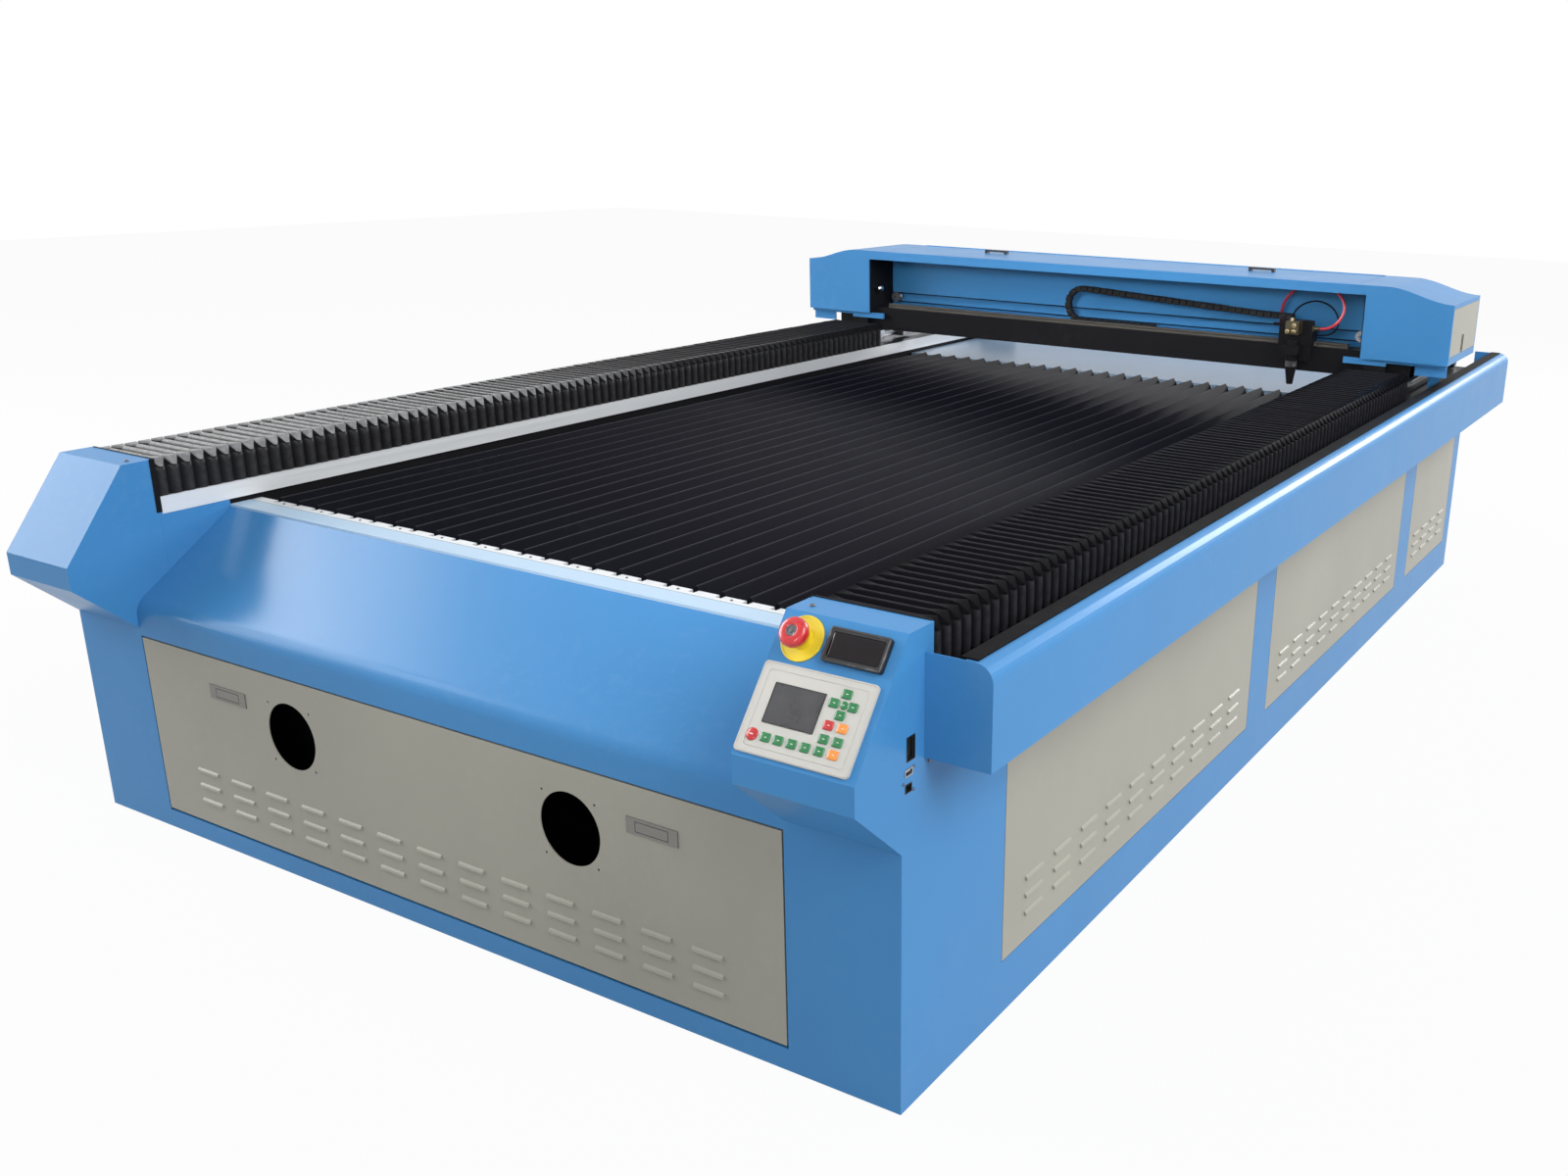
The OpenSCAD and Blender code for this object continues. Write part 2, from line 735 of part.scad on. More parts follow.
module keypad_screen() {
  color([0.2, 0.21, 0.22]) place() on_slant(keypad_x - 0.12 * keypad_w, keypad_v + 0.069 * keypad_h)
    translate([0, 0, 3]) linear_extrude(0.8) square([0.43 * keypad_w, 0.42 * keypad_h], center = true);
}

// Panel meter with a sunken window
module panel_meter() {
  color(dark) place() on_slant(meter_x, controls_v) difference() {
    union() {
      linear_extrude(7) round_rect(90, 46, 4);
      translate([0, 0, -24]) linear_extrude(25) square([76, 32], center = true);
    }
    translate([0, 0, 5.5]) linear_extrude(3) round_rect(78, 34, 3);
  }
}

// Yellow plate and black collar of the stop button
module stop_base() {
  color("gold") place() on_slant(stop_x, controls_v) difference() {
    union() {
      cylinder(h = 1.5, r = 31);
      cylinder(h = 9, r = 15);
      translate([0, 0, -30]) cylinder(h = 30.5, r = stop_stem + 1.8);
    }
    translate([0, 0, -26]) cylinder(h = 60, r = stop_stem + clear);
  }
}

// Mushroom head of the stop button on its stem
module stop_button() {
  low = 9 + stop_travel + 1;
  color("red") place() on_slant(stop_x, controls_v) rotate_extrude()
    polygon([[0, -26 + stop_travel + 1], [stop_stem, -26 + stop_travel + 1], [stop_stem, low],
      [stop_r - 5, low], [stop_r, low + 6], [stop_r, low + 11], [stop_r - 2, low + 15],
      [stop_r - 7, low + 17],
      [8, low + 17.5], [7, low + 16], [0, low + 16]]);
}

// Sockets in the console's side plate
module side_ports() {
  color(dark) place() for (p = ports) translate([half_w - 2 * sheet - 0.5, p[0], p[1]]) difference() {
    cube([3 * sheet, p[2], p[3]], center = true);
    translate([2 * sheet, 0, 0]) cube([3 * sheet, p[2] - 4, p[3] - 3], center = true);
  }
}

// Hollow-shaft motor of the long axis, on a bracket on the left rail beam
module long_motor() {
  motor = 60;
  low = [shaft_y - motor / 2, long_pulley_z - motor / 2];
  high = low + [motor, motor];
  color(dark) place() mirror([1, 0, 0]) difference() {
    union() {
      slab([beam_in - 100, low[0], low[1]], [beam_in - 4, high[0], high[1]]);
      slab([beam_in - 5, low[0], beam_top], [beam_in + 30, high[0], beam_top + 6]);
      slab([beam_in - 5, low[0], beam_top], [beam_in + 3, high[0], high[1]]);
    }
    rod_x(beam_in - 110, beam_in + 40, shaft_y, long_pulley_z, shaft_r + 0.05);
  }
}

// Toothed belts along both rails
module long_belts() {
  l = shaft_y - idler_y;
  color(dark) place() both() translate([belt_x - belt_w / 2, (shaft_y + idler_y) / 2, long_pulley_z])
    rotate([90, 0, 90]) linear_extrude(belt_w) difference() {
      stadium(l, long_pulley_r + clear + belt_t);
      stadium(l, long_pulley_r + clear);
    }
}

// Pulley along X with two flanges
module long_pulley(y) {
  rod_x(belt_x - belt_w / 2 - 1, belt_x + belt_w / 2 + 1, y, long_pulley_z, long_pulley_r);
  for (x = [belt_x - belt_w / 2 - 3, belt_x + belt_w / 2 + 1])
    rod_x(x, x + 2, y, long_pulley_z, long_pulley_r + 3);
}

// Shaft across the back that drives both belts
module drive_shaft() {
  color(silver) place() union() {
    rod_x(-belt_x - 12, belt_x + 12, shaft_y, long_pulley_z, shaft_r);
    both() long_pulley(shaft_y);
  }
}

module belt_idlers() {
  color(silver) place() both() difference() {
    long_pulley(idler_y);
    rod_x(belt_x - 20, belt_x + 20, idler_y, long_pulley_z, axle_r + 0.05);
  }
}

// Mounting plate behind the door with the power supply, the controller and a motor drive
module electronics() {
  face = cabinet_d - sheet;
  plate_x = door_w / 2 - 90;
  plate_h = [door_z - 20, door_z + door_h - 5];
  color([0.6, 0.62, 0.64]) place() union() {
    slab([-plate_x, face, plate_h[0]], [plate_x, cabinet_d, plate_h[1]]);
    slab([-plate_x + 30, face - 110, door_z + 50], [-plate_x + 370, face, plate_h[1] - 40]);
    slab([-plate_x + 420, face - 45, door_z + 110], [-plate_x + 600, face, plate_h[1] - 70]);
    slab([-plate_x + 500, face - 40, door_z + 25], [-plate_x + 600, face, door_z + 75]);
  }
}

// Louvered door with a folded rim, two fan openings and its pivot pins
module front_door() {
  x = door_w / 2;
  z1 = door_z + door_h;
  color(beige) place() union() {
    difference() {
      slab([-x, 0, door_z], [x, door_rim, z1]);
      slab([-x + door_skin, door_skin, door_z + door_skin], [x - door_skin, door_rim + 1, z1 - door_skin]);
      for (s = [-1, 1]) {
        rod_y(-1, door_rim, s * fan_x, fan_z, fan_r);
        for (sx = [-1, 1], sz = [-1, 1])
          rod_y(-1, door_rim, s * fan_x + sx * fan_pitch / 2, fan_z + sz * fan_pitch / 2, fan_hole_r);
        slab([s * latch_x - latch_w / 2 + 4, -1, latch_z - latch_h / 2 + 2],
          [s * latch_x + latch_w / 2 - 4, door_rim, latch_z + latch_h / 2 - 2]);
      }
    }
    rotate([90, 0, 0]) louver_rows(floor((door_w - 120) / louver_pitch), door_louver_z);
    both() rod_x(x - door_skin, x + door_gap + sheet, pivot_in, door_z + pivot_in, pivot_r);
    both() slab([x - 14, door_skin - 0.5, door_z + pivot_in - 6],
      [x - door_skin + 0.5, pivot_in + 6, door_z + pivot_in + 6]);
  }
}

paddle_l = 60;
paddle_t = 2;
paddle_pivot = -15;
paddle_pin = 1.5;
case_front = -1.5;

// Latch plates in the door, each with a pocket for its paddle
module latch_cases() {
  color(silver) place() for (s = [-1, 1]) translate([s * latch_x, 0, latch_z]) difference() {
    union() {
      slab([-latch_w / 2, case_front, -latch_h / 2], [latch_w / 2, 0, latch_h / 2]);
      slab([-latch_w / 2 + 5, case_front, -latch_h / 2 + 3], [latch_w / 2 - 5, 13, latch_h / 2 - 3]);
    }
    slab([-paddle_l / 2 - latch_gap, case_front - 1, -latch_h / 2 + 4.5],
      [paddle_l / 2 + latch_gap, 10, latch_h / 2 - 4.5]);
    translate([paddle_pivot, 0.5, 0]) cylinder(h = latch_h - 6, r = paddle_pin + 0.1, center = true);
  }
}

// Paddle of a latch, turning on a short upright pin
module latch_paddle() {
  h = latch_h - 9 - 2 * latch_gap;
  translate([0, 0, latch_z]) union() {
    slab([-paddle_l / 2, case_front, -h / 2], [paddle_l / 2, case_front + paddle_t, h / 2]);
    translate([paddle_pivot, 0.5, 0]) cylinder(h = latch_h - 7, r = paddle_pin, center = true);
  }
}

module latch_left() {
  color(silver) place() translate([-latch_x, 0, 0]) latch_paddle();
}

module latch_right() {
  color(silver) place() translate([latch_x, 0, 0]) latch_paddle();
}

// Hollow beam across the bed
module cross_beam() {
  color(dark) place() difference() {
    slab([-xbeam_half, xbeam_y, xbeam_z], [xbeam_half, xbeam_y + xbeam_d, xbeam_top]);
    slab([-xbeam_half - 1, xbeam_y + xbeam_wall, xbeam_z + xbeam_wall],
      [xbeam_half + 1, xbeam_y + xbeam_d - xbeam_wall, xbeam_top - xbeam_wall]);
  }
}

module cross_rail() {
  color([0.55, 0.5, 0.42]) place() translate([-cross_pulley_x + 15, cross_rail_y, xbeam_top])
    rotate([90, 0, 90]) linear_extrude(2 * cross_pulley_x - 30) rail_section(cross_rail_w, cross_rail_h);
}

// Panel behind the beam with the idler's axle and the motor's opening
module back_panel() {
  color(blue) place() union() {
    difference() {
      slab([-hood_half, back_y, box_z + sheet], [hood_half, back_y + sheet, box_top - 2 * sheet]);
      rod_y(back_y - 1, back_y + 2 * sheet, -cross_pulley_x, cross_pulley_z, 11);
    }
    rod_y(cross_belt_y - 4, back_y, cross_pulley_x, cross_pulley_z, 4);
  }
}

// Hood between the end boxes: lip, top with the lid's opening and ledge, back and floor
module hood() {
  ledge = 10;
  color(blue) place() union() {
    difference() {
      union() {
        slab([-box_in, gantry_y, box_top - hood_lip], [box_in, gantry_y + sheet, box_top]);
        slab([-box_in, gantry_y, box_top - sheet], [box_in, gantry_back, box_top]);
        slab([-box_in, gantry_back - sheet, box_z], [box_in, gantry_back, box_top]);
        slab([-hood_half, xbeam_y + xbeam_d, box_z], [hood_half, gantry_back, box_z + sheet]);
        slab([-lid_half - ledge, lid_y0 - ledge, box_top - 2 * sheet],
          [lid_half + ledge, lid_y1 - 20, box_top]);
      }
      slab([-lid_half - lid_gap, lid_y0 - lid_gap, box_top - sheet],
        [lid_half + lid_gap, lid_y1 + lid_gap, box_top + 1]);
      slab([-lid_half + ledge, lid_y0 + ledge, box_top - 3 * sheet],
        [lid_half - ledge, lid_y1 + lid_gap, box_top + 1]);
    }
    both() rod_x(lid_half - 15, lid_half + 2 * lid_gap, lid_pivot[0], lid_pivot[1], lid_pin_r - 1.5);
  }
}

// Outline of an end box seen from the front, with its top sweeping down to the outside
function box_outline(n = 14) = concat([[box_out, box_z], [box_out, box_low]],
  [for (i = [0 : n]) let (t = i / n) [box_out - (box_out - box_in - 50) * t,
    box_low + (box_top - box_low) * (0.5 - 0.5 * cos(180 * t))]],
  [[box_in, box_top], [box_in, box_z]]);

// Sheet box with its inner side open and a window for the side cover
module end_box() {
  rim = 7;
  low_rim = 20;
  difference() {
    along_y(gantry_y, gantry_back) polygon(box_outline());
    along_y(gantry_y + sheet, gantry_back - sheet) polygon([for (p = box_outline())
      [p[0] > box_out - sheet ? box_out - sheet : (p[0] < box_in + 1 ? box_in - 1 : p[0]),
       p[1] < box_z + 1 ? box_z - 1 : p[1] - sheet]]);
    slab([box_out - 2 * sheet, gantry_y + rim, box_z + low_rim],
      [box_out + 1, gantry_back - rim, box_low - rim - 4]);
  }
}

module end_box_right() {
  color(blue) place() end_box();
}

module end_box_left() {
  color(blue) place() mirror([1, 0, 0]) end_box();
}

// Beige side covers in the end boxes' windows, with a slot
module end_covers() {
  slot = [(gantry_y + gantry_back) / 2 - 16, box_z + 26];
  slot_size = [10, 38];
  color(beige) place() both() difference() {
    union() {
      slab([box_out - cover_t, gantry_y + 7.5, box_z + 20.5], [box_out, gantry_back - 7.5, box_low - 11.5]);
      slab([box_out - sheet - cover_t, gantry_y + 5, box_z + 14],
        [box_out - sheet, gantry_back - 5, box_low - 6]);
      slab([box_out - sheet - 1, gantry_y + 9, box_z + 22], [box_out - 1, gantry_back - 9, box_low - 13]);
    }
    slab([box_out - 20, slot[0], slot[1]], [box_out + 1, slot[0] + slot_size[0], slot[1] + slot_size[1]]);
  }
}

// Black plates that close the end boxes towards the beam, with a knob on the left one
module inner_plates() {
  knob = [gantry_y + 24, box_z + 74];
  color(dark) place() {
    both() difference() {
      slab([hood_half, gantry_y + sheet, box_z], [box_in, gantry_back - sheet, box_top - sheet]);
      slab([hood_half - 1, xbeam_y - clear, box_z - 1],
        [box_in + 1, xbeam_y + xbeam_d + clear, xbeam_top + clear]);
    }
    rod_x(-hood_half, -hood_half + 22, knob[0], knob[1], 5);
    rod_x(-hood_half + 22, -hood_half + 30, knob[0], knob[1], 9);
  }
}

// Plates between the carriages and the beam, with the belt clamps, the skirts and the chain's bracket
module foot_plates() {
  skirt_y = gantry_y + 20;
  color(blue) place() union() {
    both() {
      slab([rail_x - 54, gantry_y + 16, carriage_top],
        [inner_x - 12, gantry_back - 10, carriage_top + foot_t]);
      slab([belt_x - belt_w / 2, gantry_y + 90, belt_top() + clear],
        [belt_x + belt_w / 2, gantry_y + 140, carriage_top]);
      slab([box_in - 46, gantry_y + 8, box_z - 16], [rail_x + 24, gantry_y + 16, box_z]);
      slab([rail_x - 30, gantry_y + 8, carriage_top], [rail_x + 24, gantry_y + 17, box_z]);
      slab([half_w + 5, skirt_y, box_z - 33], [box_out - 5, skirt_y + sheet, box_z]);
      slab([rail_x + 20, gantry_y + 10, box_z - 8], [box_out - 5, skirt_y + sheet, box_z]);
    }
    slab([half_w + 12, skirt_y, box_z - 8], [half_w + 42, chain_arm_y() + 4, box_z]);
    slab([half_w + 12, chain_arm_y(), chain_top()], [half_w + 42, chain_arm_y() + 4, box_z]);
  }
}
function belt_top() = long_pulley_z + long_pulley_r + clear + belt_t;

// Runner blocks on the long rails
module rail_carriages() {
  block_w = 70;
  color(silver) place() both() for (y = [gantry_y + 27, gantry_back - 91])
    translate([rail_x, 0, 0]) difference() {
      slab([-block_w / 2, y, beam_top + 8], [block_w / 2, y + 70, carriage_top]);
      translate([0, 0, beam_top]) along_y(y - 1, y + 71)
        square([rail_w + 2 * clear, 2 * (rail_h + clear)], center = true);
    }
}

// Motor that turns the cross belt
module cross_motor() {
  motor = 56;
  color(dark) place() slab([-cross_pulley_x - motor / 2, back_y + sheet, cross_pulley_z - motor / 2 + 4],
    [-cross_pulley_x + motor / 2, back_y + sheet + 76, cross_pulley_z + motor / 2]);
}

module cross_belt() {
  color(dark) place() translate([0, cross_belt_y + cross_belt_w, cross_pulley_z]) rotate([90, 0, 0])
    linear_extrude(cross_belt_w) difference() {
      stadium(2 * cross_pulley_x, cross_pulley_r + clear + belt_t);
      stadium(2 * cross_pulley_x, cross_pulley_r + clear);
    }
}

// Flanged pulley along Y
module cross_pulley(x) {
  y0 = cross_belt_y - 1;
  y1 = cross_belt_y + cross_belt_w + 1;
  rod_y(y0, y1, x, cross_pulley_z, cross_pulley_r);
  for (y = [y0 - 2, y1]) rod_y(y, y + 2, x, cross_pulley_z, cross_pulley_r + 3);
}

module drive_pulley() {
  color(silver) place() union() {
    cross_pulley(-cross_pulley_x);
    rod_y(cross_belt_y + cross_belt_w, back_y + sheet - clear, -cross_pulley_x, cross_pulley_z, 6);
  }
}

module idler_pulley() {
  color(silver) place() difference() {
    cross_pulley(cross_pulley_x);
    rod_y(cross_belt_y - 9, back_y, cross_pulley_x, cross_pulley_z, 4.05);
  }
}

// Glass tube behind the back panel
module laser_tube() {
  l = tube_half;
  color([0.8, 0.85, 0.9]) place() union() {
    rod_x(-l, l, tube_y, tube_z, tube_r);
    rod_x(-l - 45, -l, tube_y, tube_z, 22);
    rod_x(l, l + 45, tube_y, tube_z, 22);
  }
}

// Split saddles that hold the glass tube
module tube_mounts() {
  mount_inset = 225;
  mount_x = tube_half - mount_inset;
  color(dark) place() both() difference() {
    slab([mount_x - 15, tube_y - tube_r - 12, box_z + sheet],
      [mount_x + 15, tube_y + tube_r + 12, tube_z + tube_r + 10]);
    rod_x(mount_x - 16, mount_x + 16, tube_y, tube_z, tube_r + 0.05);
  }
}

// Link chain from the beam's top to the head
module beam_chain() {
  link_h = 16;
  chain_run = 655;
  bend_x = head_x - chain_run;
  bend = 38;
  fall = 12;
  low = xbeam_top + link_h;
  path = concat([[bend_x + 230, low]], [for (i = [0 : 8]) let (a = -90 - (180 + fall / 2) * i / 8)
    [bend_x + bend * cos(a), low + bend + bend * sin(a)]],
    [[head_x - head_w / 2 - 60, chain_z() + 1], [head_x - head_w / 2 + 10, chain_z()]]);
  color(dark) place() along_y(chain_y(), chain_y() + 24) bent_sheet(path, link_h);
}
function chain_z() = xbeam_top + 60;
function chain_y() = cross_rail_y + 14;

// Lid on the hood with its hinge barrel at the back
module hood_lid() {
  color(blue) place() difference() {
    union() {
      slab([-lid_half, lid_y0, box_top - sheet], [lid_half, lid_y1 - lid_pin_r, box_top]);
      rod_x(-lid_half, lid_half, lid_pivot[0], lid_pivot[1], lid_pin_r);
    }
    both() rod_x(lid_half - 18, lid_half + 1, lid_pivot[0], lid_pivot[1], lid_pin_r - 1.5 + 0.05);
  }
}

// Pull handles on the lid
module lid_handles() {
  handle_inset = 314;
  handle_x = lid_half - handle_inset;
  handle_y = gantry_y + 175;
  color(dark) place() both() difference() {
    slab([handle_x - 37, handle_y, box_top], [handle_x + 37, handle_y + 15, box_top + 10]);
    slab([handle_x - 29, handle_y - 1, box_top - 1], [handle_x + 29, handle_y + 16, box_top + 5]);
  }
}

// Carriage on the cross rail with its front plate, lens clamp, belt clamp and chain bracket
module head_carriage() {
  x0 = head_x - head_w / 2;
  x1 = head_x + head_w / 2;
  color(dark) place() difference() {
    union() {
      slab([x0, head_plate_y, xbeam_top - 38], [x1, xbeam_y - clear, box_z + 84]);
      slab([x0, head_plate_y, xbeam_top + clear], [x1, cross_rail_y + 13, belt_grip() + 7]);
      slab([x0 + 25, cross_rail_y + 12, belt_grip()],
        [x1 - 25, cross_belt_y + cross_belt_w, belt_grip() + 7]);
      slab([x0 - 12, chain_y(), belt_grip()], [x0 + 30, chain_y() + 24, chain_z()]);
      slab([x0 - 42, chain_y() + 26, belt_grip()], [x0 + 30, chain_y() + 38, belt_grip() + 7]);
      slab([head_x - lens_r - 8, lens_y - lens_r - 7, xbeam_top - 20],
        [head_x + lens_r + 8, head_plate_y, xbeam_top + 4]);
    }
    translate([head_x, lens_y, xbeam_top - 30]) cylinder(h = 60, r = lens_r + 0.1);
    translate([head_x - head_w, cross_rail_y, xbeam_top]) rotate([90, 0, 90]) linear_extrude(2 * head_w)
      square([cross_rail_w + 2 * clear, 2 * (cross_rail_h + clear)], center = true);
  }
}
function belt_grip() = cross_pulley_z + cross_pulley_r + clear + belt_t;

// Mirror block on the head's plate with its brass adjusting screws
module head_mirror() {
  z = lens_top + 14;
  color("goldenrod") place() union() {
    slab([head_x - 18, lens_y - 18, z], [head_x + 18, head_plate_y, z + 34]);
    for (p = [[-9, 9], [9, 9], [9, 25]]) rod_y(lens_y - 30, lens_y - 18, head_x + p[0], z + p[1], 4);
    rod_x(head_x + head_w / 2, head_x + head_w / 2 + 17, hose_route[0][1], hose_route[0][2], 6);
    slab([head_x + head_w / 2, hose_route[0][1] - 8, hose_route[0][2] - 8],
      [head_x + head_w / 2 + 3, hose_route[0][1] + 7, hose_route[0][2] + 8]);
  }
}

// Lens tube and nozzle
module lens_tube() {
  tip_r = lens_r * 0.58;
  cone_z = nozzle_z + 40;
  color(dark) place() translate([head_x, lens_y, 0]) rotate_extrude() polygon([[0, nozzle_z],
    [tip_r - 1, nozzle_z], [tip_r, nozzle_z + 1], [lens_r, cone_z], [lens_r, lens_top], [0, lens_top]]);
}

// Route of the air hose from the brass fitting to the bracket behind the chain, from the head's middle, the
// gantry's front and the fitting's height
hose_shape = [[63, 19, 0], [83, 19, 3], [102, 21, 14], [116, 25, 34], [120, 30, 57], [111, 37, 78],
  [93, 42, 94], [68, 48, 104], [39, 55, 108], [9, 63, 106], [-19, 71, 97], [-42, 79, 81], [-58, 86, 61],
  [-67, 91, 38], [-69, 93, 17], [-69, 93, -1]];
hose_z0 = box_z + 64;
hose_rise = (gantry_h - 79) / max([for (p = hose_shape) p[2]]);
hose_route = [for (p = hose_shape) [head_x + p[0], gantry_y + p[1], hose_z0 + p[2] * hose_rise]];

module air_hose() {
  sides = 8;
  n = len(hose_route);
  tangent = [for (i = [0 : n - 1]) unit(hose_route[min(i + 1, n - 1)] - hose_route[max(i - 1, 0)])];
  points = [for (i = [0 : n - 1], k = [0 : sides - 1])
    let (u = unit(cross([0, 1, 0.2], tangent[i])), v = cross(tangent[i], u), a = 360 * k / sides)
    hose_route[i] + hose_r * (cos(a) * u + sin(a) * v)];
  walls = [for (i = [0 : n - 2], k = [0 : sides - 1]) let (j = (k + 1) % sides)
    [sides * i + k, sides * i + sides + k, sides * i + sides + j, sides * i + j]];
  start = [for (k = [0 : sides - 1]) k];
  end = [for (k = [sides - 1 : -1 : 0]) sides * (n - 1) + k];
  color([0.75, 0.1, 0.12]) place() polyhedron(points, concat([start], walls, [end]));
}

base_frame();
front_cabinet();
apron();
console_left();
console_right();
wall_left();
wall_right();
rear_wall();
panels_left();
panels_right();
cable_trough();
trough_strip();
trough_chain();
bed_strips();
slats();
rear_table();
scrap_tray();
rail_beams();
long_rails();
bellows_left();
bellows_right();
keypad();
keypad_keys();
keypad_screen();
panel_meter();
stop_base();
stop_button();
side_ports();
long_motor();
long_belts();
drive_shaft();
belt_idlers();
electronics();
front_door();
latch_cases();
latch_left();
latch_right();
cross_beam();
cross_rail();
back_panel();
hood();
end_box_left();
end_box_right();
end_covers();
inner_plates();
foot_plates();
rail_carriages();
cross_motor();
cross_belt();
laser_tube();
tube_mounts();
beam_chain();
drive_pulley();
idler_pulley();
hood_lid();
lid_handles();
head_carriage();
head_mirror();
lens_tube();
air_hose();
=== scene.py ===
import bpy
import math
import numpy as np
from mathutils import Matrix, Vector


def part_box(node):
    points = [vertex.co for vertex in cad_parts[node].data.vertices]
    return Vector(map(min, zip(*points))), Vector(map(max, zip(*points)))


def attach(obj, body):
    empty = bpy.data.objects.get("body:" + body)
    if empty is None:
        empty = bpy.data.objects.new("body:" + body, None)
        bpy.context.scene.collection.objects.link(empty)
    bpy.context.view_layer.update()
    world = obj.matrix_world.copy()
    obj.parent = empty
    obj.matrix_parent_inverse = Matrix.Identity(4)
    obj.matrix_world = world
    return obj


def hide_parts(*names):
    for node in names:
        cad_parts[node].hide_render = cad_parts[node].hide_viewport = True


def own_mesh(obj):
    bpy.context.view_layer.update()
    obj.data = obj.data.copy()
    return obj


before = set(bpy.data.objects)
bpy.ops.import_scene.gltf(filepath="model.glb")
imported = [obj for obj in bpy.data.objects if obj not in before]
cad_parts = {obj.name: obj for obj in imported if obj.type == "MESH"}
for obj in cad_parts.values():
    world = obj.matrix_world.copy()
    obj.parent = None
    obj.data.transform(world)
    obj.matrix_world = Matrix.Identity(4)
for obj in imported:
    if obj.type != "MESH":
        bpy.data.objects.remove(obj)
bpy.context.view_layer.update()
print("frame loaded with", len(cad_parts), "nodes")

bodyLength = 3.13
frontY = -bodyLength / 2


# Millimetres to metres
def metres(points):
    return np.asarray(points, float) / 1000


# Millimetres from the front plane to the frame's metres
def atFront(points):
    return metres(points) + [0, frontY, 0]


# Low and high corner of a CAD node
def nodeBox(node):
    return (np.array(corner, float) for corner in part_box(node))


# Mesh from whole arrays: vertices (n, 3) and lists of faces, each list with one corner count
def buildMesh(name, verts, faceSets, smooth=True):
    mesh = bpy.data.meshes.new(name)
    sizes = np.concatenate([np.full(len(f), f.shape[1]) for f in faceSets])
    corners = np.concatenate([f.ravel() for f in faceSets])
    starts = np.concatenate([[0], np.cumsum(sizes)[:-1]])
    mesh.vertices.add(len(verts))
    mesh.vertices.foreach_set("co", np.ascontiguousarray(verts, np.float32).ravel())
    mesh.loops.add(len(corners))
    mesh.loops.foreach_set("vertex_index", corners.astype(np.int32))
    mesh.polygons.add(len(sizes))
    mesh.polygons.foreach_set("loop_start", starts.astype(np.int32))
    mesh.polygons.foreach_set("use_smooth", np.full(len(sizes), smooth))
    mesh.update(calc_edges=True)
    mesh.validate()
    return mesh


# Quads between nu rings of nv points, each ring closed on itself
def gridFaces(nu, nv):
    i, j = np.meshgrid(np.arange(nu - 1), np.arange(nv), indexing="ij")
    k = (j + 1) % nv
    return np.stack([i * nv + j, (i + 1) * nv + j, (i + 1) * nv + k, i * nv + k], -1).reshape(-1, 4)


# Faces of a closed tube of nu rings of nv points, with both ends capped, turned outwards
def tubeFaces(nu, nv, turned=False):
    last = (nu - 1) * nv + np.arange(nv)
    sets = [gridFaces(nu, nv), np.arange(nv)[None], last[::-1][None]]
    return sets if turned else [f[:, ::-1] for f in sets]


# Object of one mesh with its finish, body and slot; it stands for a CAD node where one is given
def makePiece(name, mesh, finish, body, node=None):
    piece = bpy.data.objects.new(name, mesh)
    bpy.context.scene.collection.objects.link(piece)
    mesh.materials.append(finishes[finish])
    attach(piece, body)
    if node:
        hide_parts(node)
    return piece


# Joins parts given as (vertices, list of face arrays) into one set
def joinParts(parts):
    verts, faces, base = [], {}, 0
    for v, sets in parts:
        for f in sets:
            faces.setdefault(f.shape[1], []).append(f + base)
        verts.append(v)
        base += len(v)
    return np.concatenate(verts), [np.concatenate(f) for f in faces.values()]


# Piece made of several parts
def addParts(name, parts, finish, body, node=None, smooth=True):
    return makePiece(name, buildMesh(name, *joinParts(parts), smooth), finish, body, node)


# Rounded rectangle of width w and height h with corner radius r, as n points on each corner
def roundRect(w, h, r, n=5):
    turn = np.radians(np.concatenate([np.linspace(q, q + 90, n) for q in (0, 90, 180, 270)]))
    sx = np.repeat([1, -1, -1, 1], n) * (w / 2 - r)
    sy = np.repeat([1, 1, -1, -1], n) * (h / 2 - r)
    return np.stack([sx + r * np.cos(turn), sy + r * np.sin(turn)], -1)


# Loops of points at the given heights, set on an origin and three axes
def raiseLoops(loops, heights, origin, axes):
    local = [np.column_stack([loop, np.full(len(loop), z)]) for loop, z in zip(loops, heights)]
    return np.concatenate(local) @ np.asarray(axes, float) + origin


# Stack of rounded rectangles: ring k is the outline drawn in by inset k and lifted by height k,
# closed at both ends
def plateParts(w, h, r, rings, origin, axes, n=5, least=0.0002):
    loops = [roundRect(w - 2 * inset, h - 2 * inset, max(r - inset, least), n) for inset, _ in rings]
    return raiseLoops(loops, [z for _, z in rings], origin, axes), tubeFaces(len(rings), 4 * n)


# Raised line: four loops of a rounded rectangle, out, up, in and down again, closed underneath
def ringParts(w, h, r, width, low, high, origin, axes, n=5, least=0.0003):
    insets = np.array([0, 0.3, 1.7, 2]) * width  # outer foot, outer edge, inner edge and inner foot
    loops = [roundRect(w - inset, h - inset, max(r - inset / 2, least), n) for inset in insets]
    verts = raiseLoops(loops, (low, high, high, low), origin, axes)
    m = 4 * n
    i, k = np.arange(m), (np.arange(m) + 1) % m
    under = np.stack([3 * m + i, i, k, 3 * m + k], -1)
    return verts, [np.concatenate([gridFaces(4, m), under])[:, ::-1]]


# Surface of revolution: profile (radius, height) turned about the third axis, closed at both ends
def latheParts(profile, origin, axes, n=24):
    profile = np.asarray(profile, float)
    a = np.linspace(0, 2 * np.pi, n, endpoint=False)
    local = np.stack([profile[:, :1] * np.cos(a), profile[:, :1] * np.sin(a),
                      np.repeat(profile[:, 1:], n, 1)], -1)
    return local.reshape(-1, 3) @ np.asarray(axes, float) + origin, tubeFaces(len(profile), n)


